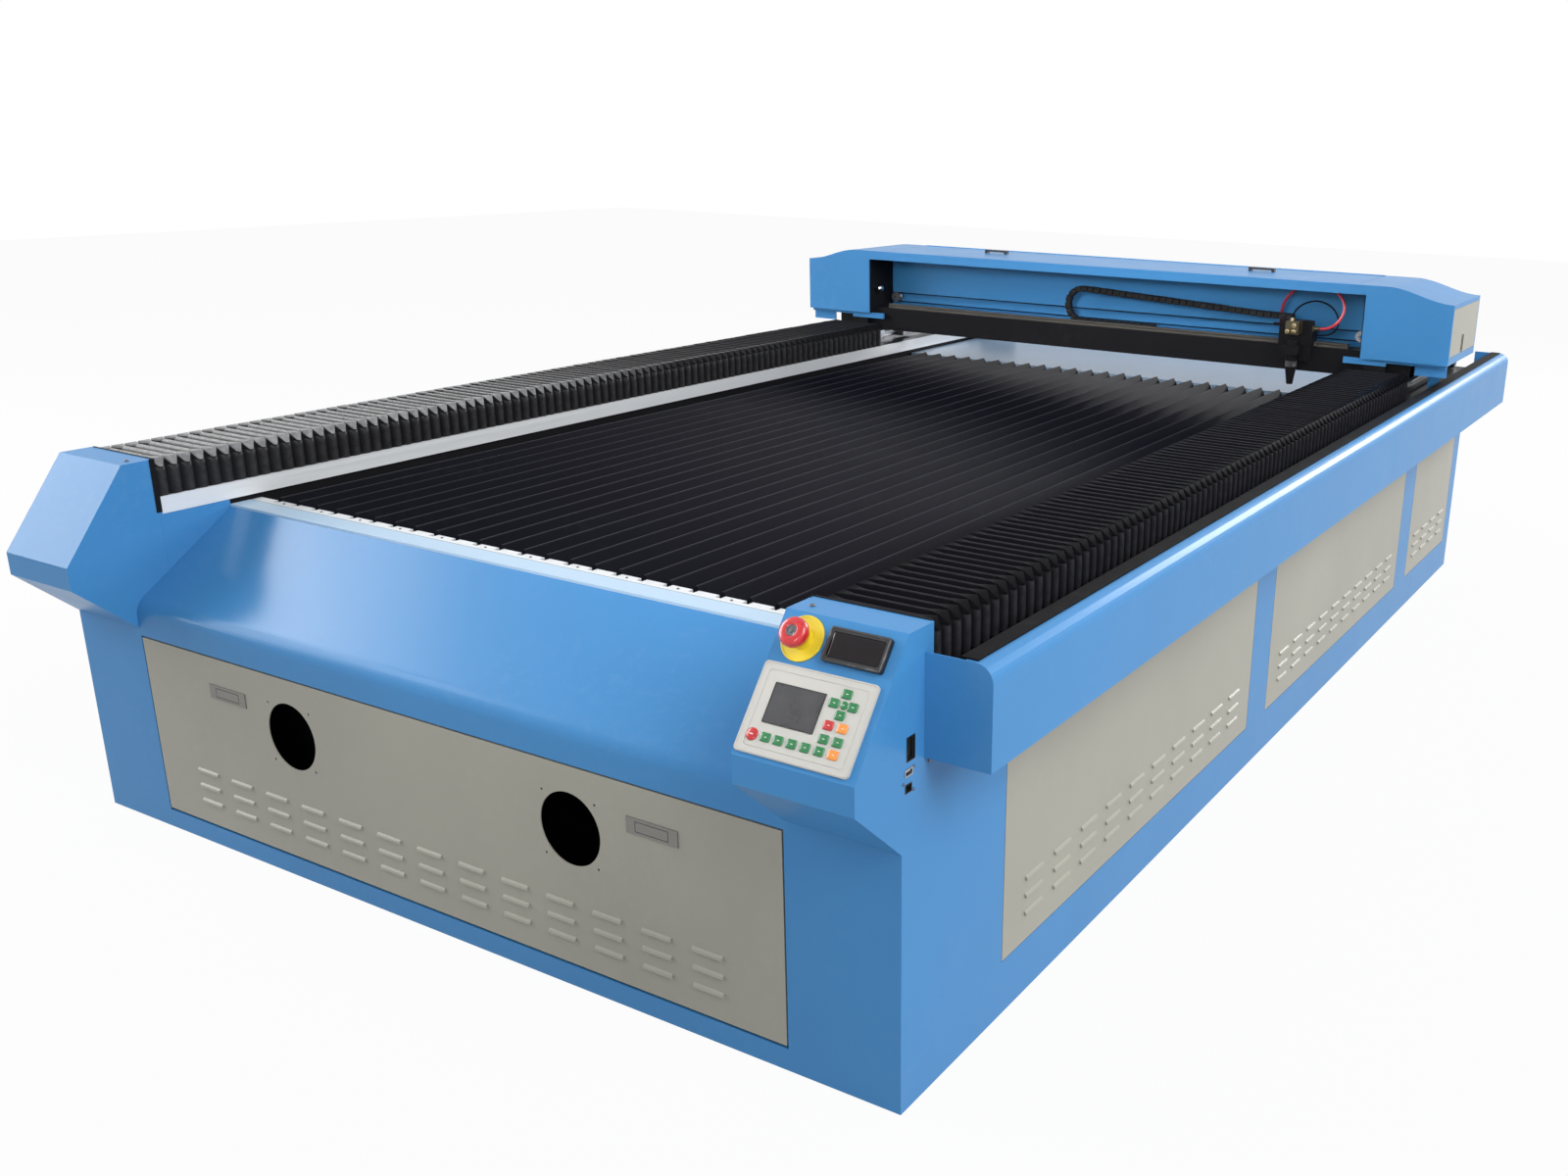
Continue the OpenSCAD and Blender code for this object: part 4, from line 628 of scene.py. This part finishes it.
# Pleated cover: across the top a zigzag along Y, z = top - ridge * (1 - peak), with its ends mitred down
# to a tip; down each side rounded fingers, x = edge + pinch * (1 - swell * sin(pi f) ** finger) over fold f
def makeBellows(name, node, seed, finish, wear):
    low, high = nodeBox(node)
    b = bellows
    n = b["folds"]
    lift = np.append(np.repeat(b["uneven"] * np.random.default_rng(seed).uniform(0, 1, n), 3), 0.0)

    def along(f):  # fold number to Y
        return low[1] + (high[1] - low[1]) * f / n

    def rows(half):  # valley and both edges of the ridge for each fold, and the last valley
        return along(np.append((np.arange(n)[:, None] + [0.0, 0.5 - half, 0.5 + half]).ravel(), n))

    y = rows(b["flat"])
    peak = np.append(np.tile([0.0, 1.0, 1.0], n), 0.0)
    zig = high[2] - b["ridge"] * (1 - peak) - lift
    foot = high[2] - b["ridge"] - b["tuck"]
    inset = np.array(b["inset"])
    x = np.concatenate([low[0] + inset, high[0] - inset[::-1]])
    top = np.stack(np.broadcast_arrays(x, y[:, None], zig[:, None]), -1)
    top[:, [0, 7], 2] = foot
    top[:, [2, 5], 1] = rows(b["mitre"])[:, None]  # points 2 and 5 start the mitres, 1 and 6 are their tips
    top[:, [1, 6], 2] = np.where(peak > 0, high[2] - b["tip"] - lift, zig)[:, None]
    top[:, 1, 0] += b["gather"] * (1 - peak)
    top[:, 6, 0] -= b["gather"] * (1 - peak)
    parts = [(top.reshape(-1, 3), tubeFaces(len(y), len(x)))]
    nearWearAndGlare, farWearAndGlare, mitreWearAndGlare, fingerWearAndGlare = wear
    # Ridges paler towards the front: painted glare fading along the cover
    fade = peak * np.linspace(nearWearAndGlare, farWearAndGlare, len(y))
    across = np.interp(np.arange(len(x)), [1, 3, 4, 6], [mitreWearAndGlare, 1, 1, mitreWearAndGlare])
    edges = [np.outer(fade, across).ravel()]

    f = np.arange(n * b["steps"] + 1) / b["steps"]
    bulge = np.abs(np.sin(np.pi * f)) ** b["finger"]
    ys = along(f)[:, None]
    zs = np.concatenate([low[2] + b["fromLow"], foot + b["fromFoot"], [low[2]]])
    outer = b["pinch"] * (1 - bulge[:, None] * b["swell"]) + b["clear"]
    depth = np.concatenate([outer, np.full((len(f), 2), b["pinch"] + b["wall"])], 1)
    for edge, sign in ((low[0], 1), (high[0], -1)):
        side = np.stack(np.broadcast_arrays(edge + sign * depth, ys, zs), -1)
        parts.append((side.reshape(-1, 3), tubeFaces(len(f), len(zs), sign < 0)))
        # Fingers paler on their rounded middles: painted highlights
        edges.append(np.repeat(b["fingerEdge"] + fingerWearAndGlare * bulge ** b["fingerPower"], len(zs)))
    verts, faces = joinParts(parts)
    mesh = buildMesh(name, verts, faces, False)
    smooth = np.zeros(len(mesh.polygons), bool)
    smooth[len(x) * (len(y) - 1):len(faces[0])] = True  # the fingers only
    mesh.polygons.foreach_set("use_smooth", smooth)
    mesh.attributes.new("foldEdge", "FLOAT", "POINT").data.foreach_set("value", np.concatenate(edges))
    piece = makePiece(name, mesh, finish, "machine", node)
    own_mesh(piece)


for name, values in bellows["sides"].items():
    makeBellows(name, *values)

bellowsFrame = {"inner": 0.7153, "outer": 0.8985, "low": 0.5854, "over": 0.0025, "plate": (0.0732, 0.0758),
                "corner": 0.004, "edge": 0.0004, "wall": 0.7150, "flange": (0.0655, 0.0757),
                "flangeLow": 0.589, "flangeCorner": 0.001,
                "flangeRings": [(0, 0), (0, 0.0008), (0.0003, 0.0011)],
                "seam": (0.071, 0.0757), "seamLow": 0.43, "seamCorner": 0.0005,
                "seamRings": [(0, 0), (0.0002, 0.0003)]}


# Black plate that closes the front end of each cover, with a flange on the inside and a blue filler below it
def makeBellowsFrames():
    b = bellowsFrame
    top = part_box("bellows_left")[1][2] + b["over"]
    thick = b["plate"][1] - b["plate"][0]
    rings = [(b["edge"], 0), (0, b["edge"]), (0, thick - b["edge"]), (b["edge"], thick)]
    plates, fillers = [], []
    for sign in (-1, 1):
        middle = [sign * (b["inner"] + b["outer"]) / 2, b["plate"][1] + frontY, (b["low"] + top) / 2]
        plates.append(plateParts(b["outer"] - b["inner"], top - b["low"], b["corner"], rings, middle,
                                 [[1, 0, 0], [0, 0, 1], [0, -1, 0]]))
        inward = [[0, -sign, 0], [0, 0, 1], [-sign, 0, 0]]
        for parts, kind, high in ((plates, "flange", top), (fillers, "seam", b["flangeLow"])):
            (near, far), low = b[kind], b[kind + "Low"]
            middle = [sign * b["wall"], (near + far) / 2 + frontY, (low + high) / 2]
            parts.append(plateParts(far - near, high - low, b[kind + "Corner"], b[kind + "Rings"], middle,
                                    inward, n=3))
    addParts("bellowsFrames", plates, "blackPaint", "machine", smooth=False)
    addParts("seamFillers", fillers, "bluePaint", "machine", smooth=False)


makeBellowsFrames()
print("pleated covers made")

# Shares of a link's pitch, width and thickness, with the size of its rounded edges
link = {"long": 0.9, "waistLong": 1.1, "waistWide": 0.72, "waistThick": 0.36, "corner": 0.003, "edge": 0.0015,
        "look": 0.3}


# Link chain: a rounded block set square to the path at each step of arc length, with a thin waist after it
def chainParts(path, pitch, wide, thick, across):
    s = np.concatenate([[0], np.cumsum(np.linalg.norm(np.diff(path, axis=0), axis=1))])
    at = np.arange(pitch / 2, s[-1], pitch)

    def onPath(reach):
        return np.stack([np.interp(reach, s, path[:, k]) for k in range(3)], -1)

    t = onPath(at + link["look"] * pitch) - onPath(at - link["look"] * pitch)
    t /= np.linalg.norm(t, axis=1, keepdims=True)
    half, edge, waist = thick / 2, link["edge"], thick * link["waistThick"]
    rings = [(edge, -half), (0, edge - half), (0, half - edge), (edge, half)]
    parts = []
    for c, d in zip(onPath(at), t):
        axes = [d, across, np.cross(d, across)]
        parts.append(plateParts(pitch * link["long"], wide, link["corner"], rings, c, axes, n=3))
        parts.append(plateParts(pitch * link["waistLong"], wide * link["waistWide"], link["corner"],
                                [(0, -waist), (0, waist)], c, axes, n=2))
    return parts


beamChain = {"bendX": -70, "bend": 46, "lowRun": 230, "sweep": 186, "points": 25, "endX": 550, "near": 480,
             "rise": 68, "sag": 1, "thick": 16, "wide": 0.020, "y": 2484, "pitch": 0.0205, "gather": -0.6816,
             "keep": 0.05}


# Chain on the cross beam: along the beam, round a bend and back over itself to the head
def makeBeamChain():
    c = beamChain
    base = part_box("cross_beam")[1][2] * 1000
    low = base + c["thick"] / 2
    a = np.radians(-90 - np.linspace(0, c["sweep"], c["points"]))
    bend = np.stack([c["bendX"] + c["bend"] * np.cos(a), np.full(len(a), c["y"]),
                     low + c["bend"] * (1 + np.sin(a))], -1)
    path = np.concatenate([[[c["bendX"] + c["lowRun"], c["y"], low]], bend,
                           [[c["near"], c["y"], base + c["rise"] + c["sag"]],
                            [c["endX"], c["y"], base + c["rise"]]]])
    parts = chainParts(atFront(path), c["pitch"], c["wide"], c["thick"] / 1000, np.array([0, 1.0, 0]))
    piece = addParts("beamChain", parts, "chainPlastic", "gantry", "beam_chain", False)
    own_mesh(piece)


makeBeamChain()

troughChain = {"radius": 40, "points": 21, "thick": 20, "wide": 0.030, "pitch": 0.034, "start": 1563,
               "bendY": 2673, "arm": 2567, "past": 4, "travel": 2.05, "keep": 0.45}


# Chain in the trough: along the floor, round a half turn and back to the gantry's arm
def makeTroughChain():
    c = troughChain
    low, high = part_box("trough_chain")
    x = (low[0] + high[0]) * 500  # middle in millimetres
    z = low[2] * 1000 + c["thick"] / 2
    a = np.radians(np.linspace(-90, 90, c["points"]))
    bend = np.stack([np.full(len(a), x), c["bendY"] + c["radius"] * np.cos(a),
                     z + c["radius"] * (1 + np.sin(a))], -1)
    path = np.concatenate([[[x, c["start"], z]], bend, [[x, c["arm"] + c["past"], z + 2 * c["radius"]]]])
    parts = chainParts(atFront(path), c["pitch"], c["wide"], c["thick"] / 1000, np.array([1.0, 0, 0]))
    piece = addParts("troughChain", parts, "chainPlastic", "machine", "trough_chain", False)
    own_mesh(piece)


makeTroughChain()
print("cable chains made")

console = {"lip": (-104, 528), "rise": 157, "run": 120, "side": 900}
slope = math.atan2(console["rise"], console["run"])
slantAxes = np.array([[1, 0, 0], [0, math.cos(slope), math.sin(slope)],
                      [0, -math.sin(slope), math.cos(slope)]])
sideAxes = np.array([[0, 1.0, 0], [0, 0, 1], [1, 0, 0]])


# Point on the console's slanted face: x across and v up the slope, in millimetres
def onSlant(x, v):
    return atFront([x, console["lip"][0] + v * math.cos(slope), console["lip"][1] + v * math.sin(slope)])


# Point on the console's right side, in millimetres
def onSide(y, z):
    return atFront([console["side"], y, z])


# Key places are shares of the keypad's width and height; a round key also has its radius
keypad = {"x": 802.5, "v": 66.0, "w": 172, "h": 120, "face": 0.003,
          "green": [(0.764, 0.166), (0.684, 0.283), (0.845, 0.286), (0.767, 0.396), (0.705, 0.668),
                    (0.824, 0.668), (0.238, 0.8), (0.35, 0.8), (0.467, 0.8), (0.585, 0.8), (0.705, 0.8)],
          "red": [(0.705, 0.52)], "amber": [(0.824, 0.52), (0.824, 0.8)],
          "round": {"green": (0.771, 0.285, 0.0056), "red": (0.118, 0.8, 0.0085)},
          "key": (0.0145, 0.0123, 0.0024),
          "dome": [(0, 0), (0, 0.0007), (0.0004, 0.0013), (0.0012, 0.0018), (0.0026, 0.0021)],
          "roundDome": [(1, 0, 0), (1, 0, 0.0007), (1, -0.0005, 0.0014), (0.6, 0, 0.002),
                        (0, 0.0002, 0.0022)],
          "mark": (0.0036, 0.0009, 0.0004), "markShift": 0.008, "markRise": (0.0019, 0.0023),
          "roundMark": (0.6, 0.15), "roundCorner": 0.0003, "roundRise": (0.0019, 0.0024),
          "lines": [(0.150, 0.101, 0.005, 0.0008, 0.0, 0.0005),
                    (0.170, 0.118, 0.006, 0.0012, -0.0002, 0.0007)],
          "screen": (-0.12, 0.069), "screenShare": (0.43, 0.42), "screenOver": 0.003,
          "screenEdge": (0.001, 0.0018, 0.0, 0.0011)}


def keyPlace(u, v):
    return onSlant(keypad["x"] + (u - 0.5) * keypad["w"], keypad["v"] + (0.5 - v) * keypad["h"])


# Keys: rounded rectangles and discs that swell in rings to a domed top, each with a plain mark
def makeKeys():
    k = keypad
    z = k["face"]
    dome = [(inset, z + up) for inset, up in k["dome"]]
    markRings = [(0, z + up) for up in k["markRise"]]
    roundRings = [(0, z + up) for up in k["roundRise"]]
    marks = []
    for colour in ("green", "red", "amber"):
        parts = [plateParts(*k["key"], dome, keyPlace(u, v), slantAxes) for u, v in k[colour]]
        marks += [plateParts(*k["mark"], markRings, keyPlace(u + k["markShift"], v), slantAxes, n=2)
                  for u, v in k[colour]]
        if colour in k["round"]:
            u, v, radius = k["round"][colour]
            profile = [(share * radius + more, z + up) for share, more, up in k["roundDome"]]
            parts.append(latheParts(profile, keyPlace(u, v), slantAxes))
            w, h = radius * np.array(k["roundMark"])
            marks.append(plateParts(w, h, k["roundCorner"], roundRings, keyPlace(u, v), slantAxes, n=2))
        node = "keypad_keys" if colour == "green" else None
        addParts(colour + "Keys", parts, colour + "Key", "machine", node)
    addParts("keyMarks", marks, "keyMark", "machine", smooth=False)


makeKeys()


# Raised lines on the keypad's face and round its screen
def makeKeypadTrim():
    k = keypad
    z = k["face"]
    middle = onSlant(k["x"], k["v"])
    lines = [ringParts(*shape, z + low, z + high, middle, slantAxes) for *shape, low, high in k["lines"]]
    addParts("keypadLines", lines, "keypadPlastic", "machine")
    screen = onSlant(k["x"] + k["screen"][0] * k["w"], k["v"] + k["screen"][1] * k["h"])
    w, h = metres(np.array(k["screenShare"]) * (k["w"], k["h"])) + k["screenOver"]
    corner, width, low, high = k["screenEdge"]
    edge = ringParts(w, h, corner, width, z + low, z + high, screen, slantAxes)
    addParts("screenEdge", [edge], "blackPlastic", "machine", smooth=False)


makeKeypadTrim()

stopButton = {"x": 755.5, "up": 35,
              "head": [(8.7, -21), (8.7, 13.9), (14.5, 14.0), (17.6, 15.6), (19.4, 18.2), (20, 21.5),
                       (20, 25.0), (19.4, 27.6), (18.2, 29.4), (16, 30.8), (13, 31.4), (9.6, 31.6),
                       (8.2, 31.3), (7.6, 30.2), (0.1, 30.0)],
              "disc": [(7.4, 29.9), (7.4, 30.7), (6.6, 31.1), (5.2, 31.1), (5.0, 30.5), (3.4, 30.5),
                       (3.2, 31.2), (0.1, 31.3)],
              "ring": [(31.2, 0), (31.2, 1.3), (30.6, 1.9), (28.6, 1.9), (28.2, 1.5), (28.2, 0)]}
upSlope = math.hypot(console["rise"], console["run"]) - stopButton["up"]


# Stop button: a mushroom profile turned about the button's axis, a disc in its top and a ring on its plate
def makeStop():
    place = onSlant(stopButton["x"], upSlope)
    head = latheParts(metres(stopButton["head"]), place, slantAxes, n=48)
    addParts("stopHead", [head], "stopRed", "stop", "stop_button")
    disc = latheParts(metres(stopButton["disc"]), place, slantAxes, n=32)
    addParts("stopDisc", [disc], "darkSteel", "stop", smooth=False)
    ring = hoopParts(metres(stopButton["ring"]), place, slantAxes, n=64)
    addParts("stopRing", [ring], "stopYellow", "machine")


makeStop()

meter = {"x": 839.5, "window": (0.0775, 0.0335, 0.0028),
         "bezel": (0.0895, 0.0455, 0.004, 0.0028, 0.0068, 0.0078),
         "rings": [(0, 0.0055), (0, 0.0062), (0.0006, 0.0066), (0.004, 0.0067)]}


# Meter: a glossy window in the sunken face and a raised bezel line
def makeMeter():
    place = onSlant(meter["x"], upSlope)
    window = plateParts(*meter["window"], meter["rings"], place, slantAxes)
    addParts("meterWindow", [window], "meterWindow", "machine")
    bezel = ringParts(*meter["bezel"], place, slantAxes)
    addParts("meterBezel", [bezel], "meterRim", "machine")


makeMeter()

# Sockets are (y, z) in millimetres and (width, height) in metres
ports = {"usb": (15, 502, 0.016, 0.008), "others": [(15, 480, 0.014, 0.011), (20, 533, 0.018, 0.032)],
         "shellOver": 0.003, "shell": (0.0015, 0.0024, -0.002, 0.0011), "rimOver": 0.002,
         "rim": (0.001, 0.0014, -0.002, 0.0006), "tongue": (0.7, 0.3, 0.0004), "tongueUp": 1,
         "tongueRings": [(0, -0.006), (0, -0.001)]}


# Socket shells: a bright ring with its tongue for the middle socket, black rings round the other two
def makePorts():
    p = ports
    y, z, w, h = p["usb"]
    wide, high, corner = p["tongue"]
    shell = [ringParts(w + p["shellOver"], h + p["shellOver"], *p["shell"], onSide(y, z), sideAxes),
             plateParts(w * wide, h * high, corner, p["tongueRings"], onSide(y, z + p["tongueUp"]), sideAxes,
                        n=2)]
    addParts("usbShell", shell, "steel", "machine", smooth=False)
    rims = [ringParts(w + p["rimOver"], h + p["rimOver"], *p["rim"], onSide(y, z), sideAxes)
            for y, z, w, h in p["others"]]
    addParts("portRims", rims, "blackPlastic", "machine", smooth=False)


makePorts()

# Places in millimetres; the head's profile is in shares of its radius
screws = {"radius": 0.0032, "pitch": 53.0, "strip": (261, 4), "stripCount": 12, "top": (738, 40),
          "side": [(27, 506), (3, 489), (27, 474)], "sideLast": (66, 500),
          "scale": {"strip": 0.75, "top": 1.2, "side": 0.7},
          "head": [(1.0, 0), (1.0, 0.25), (0.86, 0.5), (0.55, 0.66), (0.16, 0.66), (0.12, 0.4), (0.02, 0.38)]}


# Screw heads: a domed profile with a small socket, turned about the surface's normal
def screwParts(point, axes, scale):
    return latheParts(np.array(screws["head"]) * screws["radius"] * scale, point, axes, n=12)


def makeScrews():
    up, scale = np.eye(3), screws["scale"]
    y, over = screws["strip"]
    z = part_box("apron")[1][2] * 1000 + over
    count = screws["stripCount"]
    heads = [screwParts(atFront([x, y, z]), up, scale["strip"])
             for x in np.arange(-count, count + 1, 2) * screws["pitch"]]
    x, y = screws["top"]
    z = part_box("console_left")[1][2] * 1000
    heads += [screwParts(atFront([s * x, y, z]), up, scale["top"]) for s in (-1, 1)]
    heads += [screwParts(onSide(*place), sideAxes, scale["side"]) for place in screws["side"]]
    heads.append(screwParts(onSide(*screws["sideLast"]), sideAxes, scale["top"]))
    addParts("bodyScrews", heads, "darkSteel", "machine")


makeScrews()

# seam is the width of the painted shadow line behind the band
flange = {"share": 0.64, "seam": 0.0012, "rise": 0.0004, "strip": 0.004, "depth": 0.066, "start": 0.206,
          "edge": 0.006, "lip": 0.0043, "over": 0.0004, "corner": 0.0004, "round": (0.6, 0.0002)}


# Band of the apron's flange in front of the notched strip, blue paint made pale as a painted reflection, and
# a black painted shadow line behind it, as flat plates
def makeFlange():
    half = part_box("bed_strips")[1][0] - flange["edge"]
    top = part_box("apron")[1][2] + flange["strip"]
    band = flange["depth"] * flange["share"]
    near = flange["start"] + frontY
    share, inset = flange["round"]
    for name, finish, slot, y, deep, low in (
            ("flangeBand", "flangePaintAndReflection", "blue_paint", near - flange["over"], band + flange["over"],
             -flange["lip"]),
            # black line behind the band: a painted shadow at the strip's front edge
            ("flangeShadowLine", "blackPaint", "black_paint", near + band, flange["seam"], -flange["rise"])):
        rings = [(0, low), (0, flange["rise"] * share), (inset, flange["rise"])]
        middle = np.array([0, y + deep / 2, top])
        plate = plateParts(2 * half, deep, flange["corner"], rings, middle, np.eye(3), n=3)
        addParts(name, [plate], finish, "machine", smooth=False)


makeFlange()

cabinetShadePan = {"inset": 0.012, "depth": 0.9, "corner": 0.002, "rings": [(0, 0.002), (0, 0.004)]}


# Black plate in the foot of the cabinet, a dark sheet of painted shade that keeps the fan openings dark: a
# flat plate just above the floor
def makeCabinetShadePan():
    low, high = nodeBox("front_cabinet")
    wide = high[0] - low[0] - 2 * cabinetShadePan["inset"]
    middle = np.array([(low[0] + high[0]) / 2, frontY + cabinetShadePan["inset"] + cabinetShadePan["depth"] / 2, 0])
    plate = plateParts(wide, cabinetShadePan["depth"], cabinetShadePan["corner"], cabinetShadePan["rings"], middle,
                       np.eye(3), n=3)
    addParts("cabinetShadePan", [plate], "rubber", "machine", smooth=False)


makeCabinetShadePan()

coverSlot = {"y": 0.138, "z": 0.045, "shape": (0.020, 0.048, 0.004),
             "rings": [(0, -0.003), (0, 0.0004), (0.0004, 0.0008), (0.0034, 0.0008), (0.0038, -0.0025)]}


# Black grommet in the upright slot of each end cover: a rounded rim with a sunken middle
def makeCoverSlots():
    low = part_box("end_box_right")[0]
    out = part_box("end_covers")[1][0]
    parts = []
    for sign in (1.0, -1.0):
        axes = np.array([[0, sign, 0], [0, 0, 1], [sign, 0, 0]])
        place = np.array([sign * out, low[1] + coverSlot["y"], low[2] + coverSlot["z"]])
        parts.append(plateParts(*coverSlot["shape"], coverSlot["rings"], place, axes))
    addParts("coverSlots", parts, "blackPlastic", "gantry", smooth=False)


makeCoverSlots()

knob = {"x": -0.7415, "y": 2.437, "up": 0.074,
        "profile": [(5.2, 0), (9.2, 0.4), (9.6, 1.6), (9.6, 6.4), (8.6, 8.6), (5.5, 9.6), (0.1, 9.9)]}


# Turned knob over the end of the rod on the left inner plate
def makeKnob():
    place = np.array([knob["x"], knob["y"] + frontY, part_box("end_box_left")[0][2] + knob["up"]])
    part = latheParts(metres(knob["profile"]), place, sideAxes, n=28)
    addParts("tensionKnob", [part], "chrome", "gantry")


makeKnob()

thumbScrew = {"profile": [(2.6, 0), (5.4, 0.4), (5.8, 1.2), (5.8, 5.6), (5.2, 6.6), (2.4, 6.9), (2.2, 6.2),
                          (0.1, 6.2)],
              "places": [(0.576, 0.771), (0.594, 0.771), (0.594, 0.787)], "y": 0.8205,
              "knob": (0.5775, 0.848, 0.7955)}


# Brass thumb screws on the mirror block: a rimmed profile turned about each screw's axis
def makeThumbScrews():
    profile = metres(thumbScrew["profile"])
    frontAxes = [[1, 0, 0], [0, 0, 1], [0, -1, 0]]
    parts = [latheParts(profile, np.array([x, thumbScrew["y"], z]), frontAxes, n=20)
             for x, z in thumbScrew["places"]]
    parts.append(latheParts(profile, np.array(thumbScrew["knob"]), np.eye(3), n=20))
    addParts("thumbScrews", parts, "brass", "head", smooth=False)


makeThumbScrews()

lens = {"profile": [(3.5, 0.3), (8.2, 0), (8.6, 0.5), (9.4, 8), (14.4, 40), (15.2, 43), (15.2, 45.5),
                    (14.6, 46), (14.6, 62), (15.2, 62.5), (15.2, 64.5), (13.95, 65.5)],
        "radius": 13.95, "bevel": 0.6, "ribs": 44, "depth": 0.0004, "gripRadius": 0.0151, "gripInset": 0.0012,
        "grip": (0.0462, 0.0468, 0.0612, 0.0618)}


# Lens tube: a nozzle profile turned about the tube's axis, with a knurled grip,
# radius = r + depth * cos(ribs * angle)
def makeLens():
    low, high = nodeBox("lens_tube")
    place = np.array([(low[0] + high[0]) / 2, (low[1] + high[1]) / 2, low[2]])
    tall = (high[2] - low[2]) * 1000
    rim = [(lens["radius"], tall - lens["bevel"]), (lens["radius"] - lens["bevel"], tall)]
    tube = latheParts(metres(lens["profile"] + rim), place, np.eye(3), n=40)
    addParts("lensTube", [tube], "blackPaint", "lens", "lens_tube", False)
    n = lens["ribs"] * 4
    a = np.linspace(0, 2 * np.pi, n, endpoint=False)
    z = np.array(lens["grip"])[:, None] + low[2]
    r = lens["gripRadius"] - lens["gripInset"] * np.array([1, 0, 0, 1])[:, None]
    r = r + lens["depth"] * np.cos(lens["ribs"] * a)
    verts = np.stack([place[0] + r * np.cos(a), place[1] + r * np.sin(a), np.broadcast_to(z, r.shape)], -1)
    grip = (verts.reshape(-1, 3), tubeFaces(4, n))
    addParts("focusGrip", [grip], "darkSteel", "lens", smooth=False)


makeLens()
print("controls and fittings made")
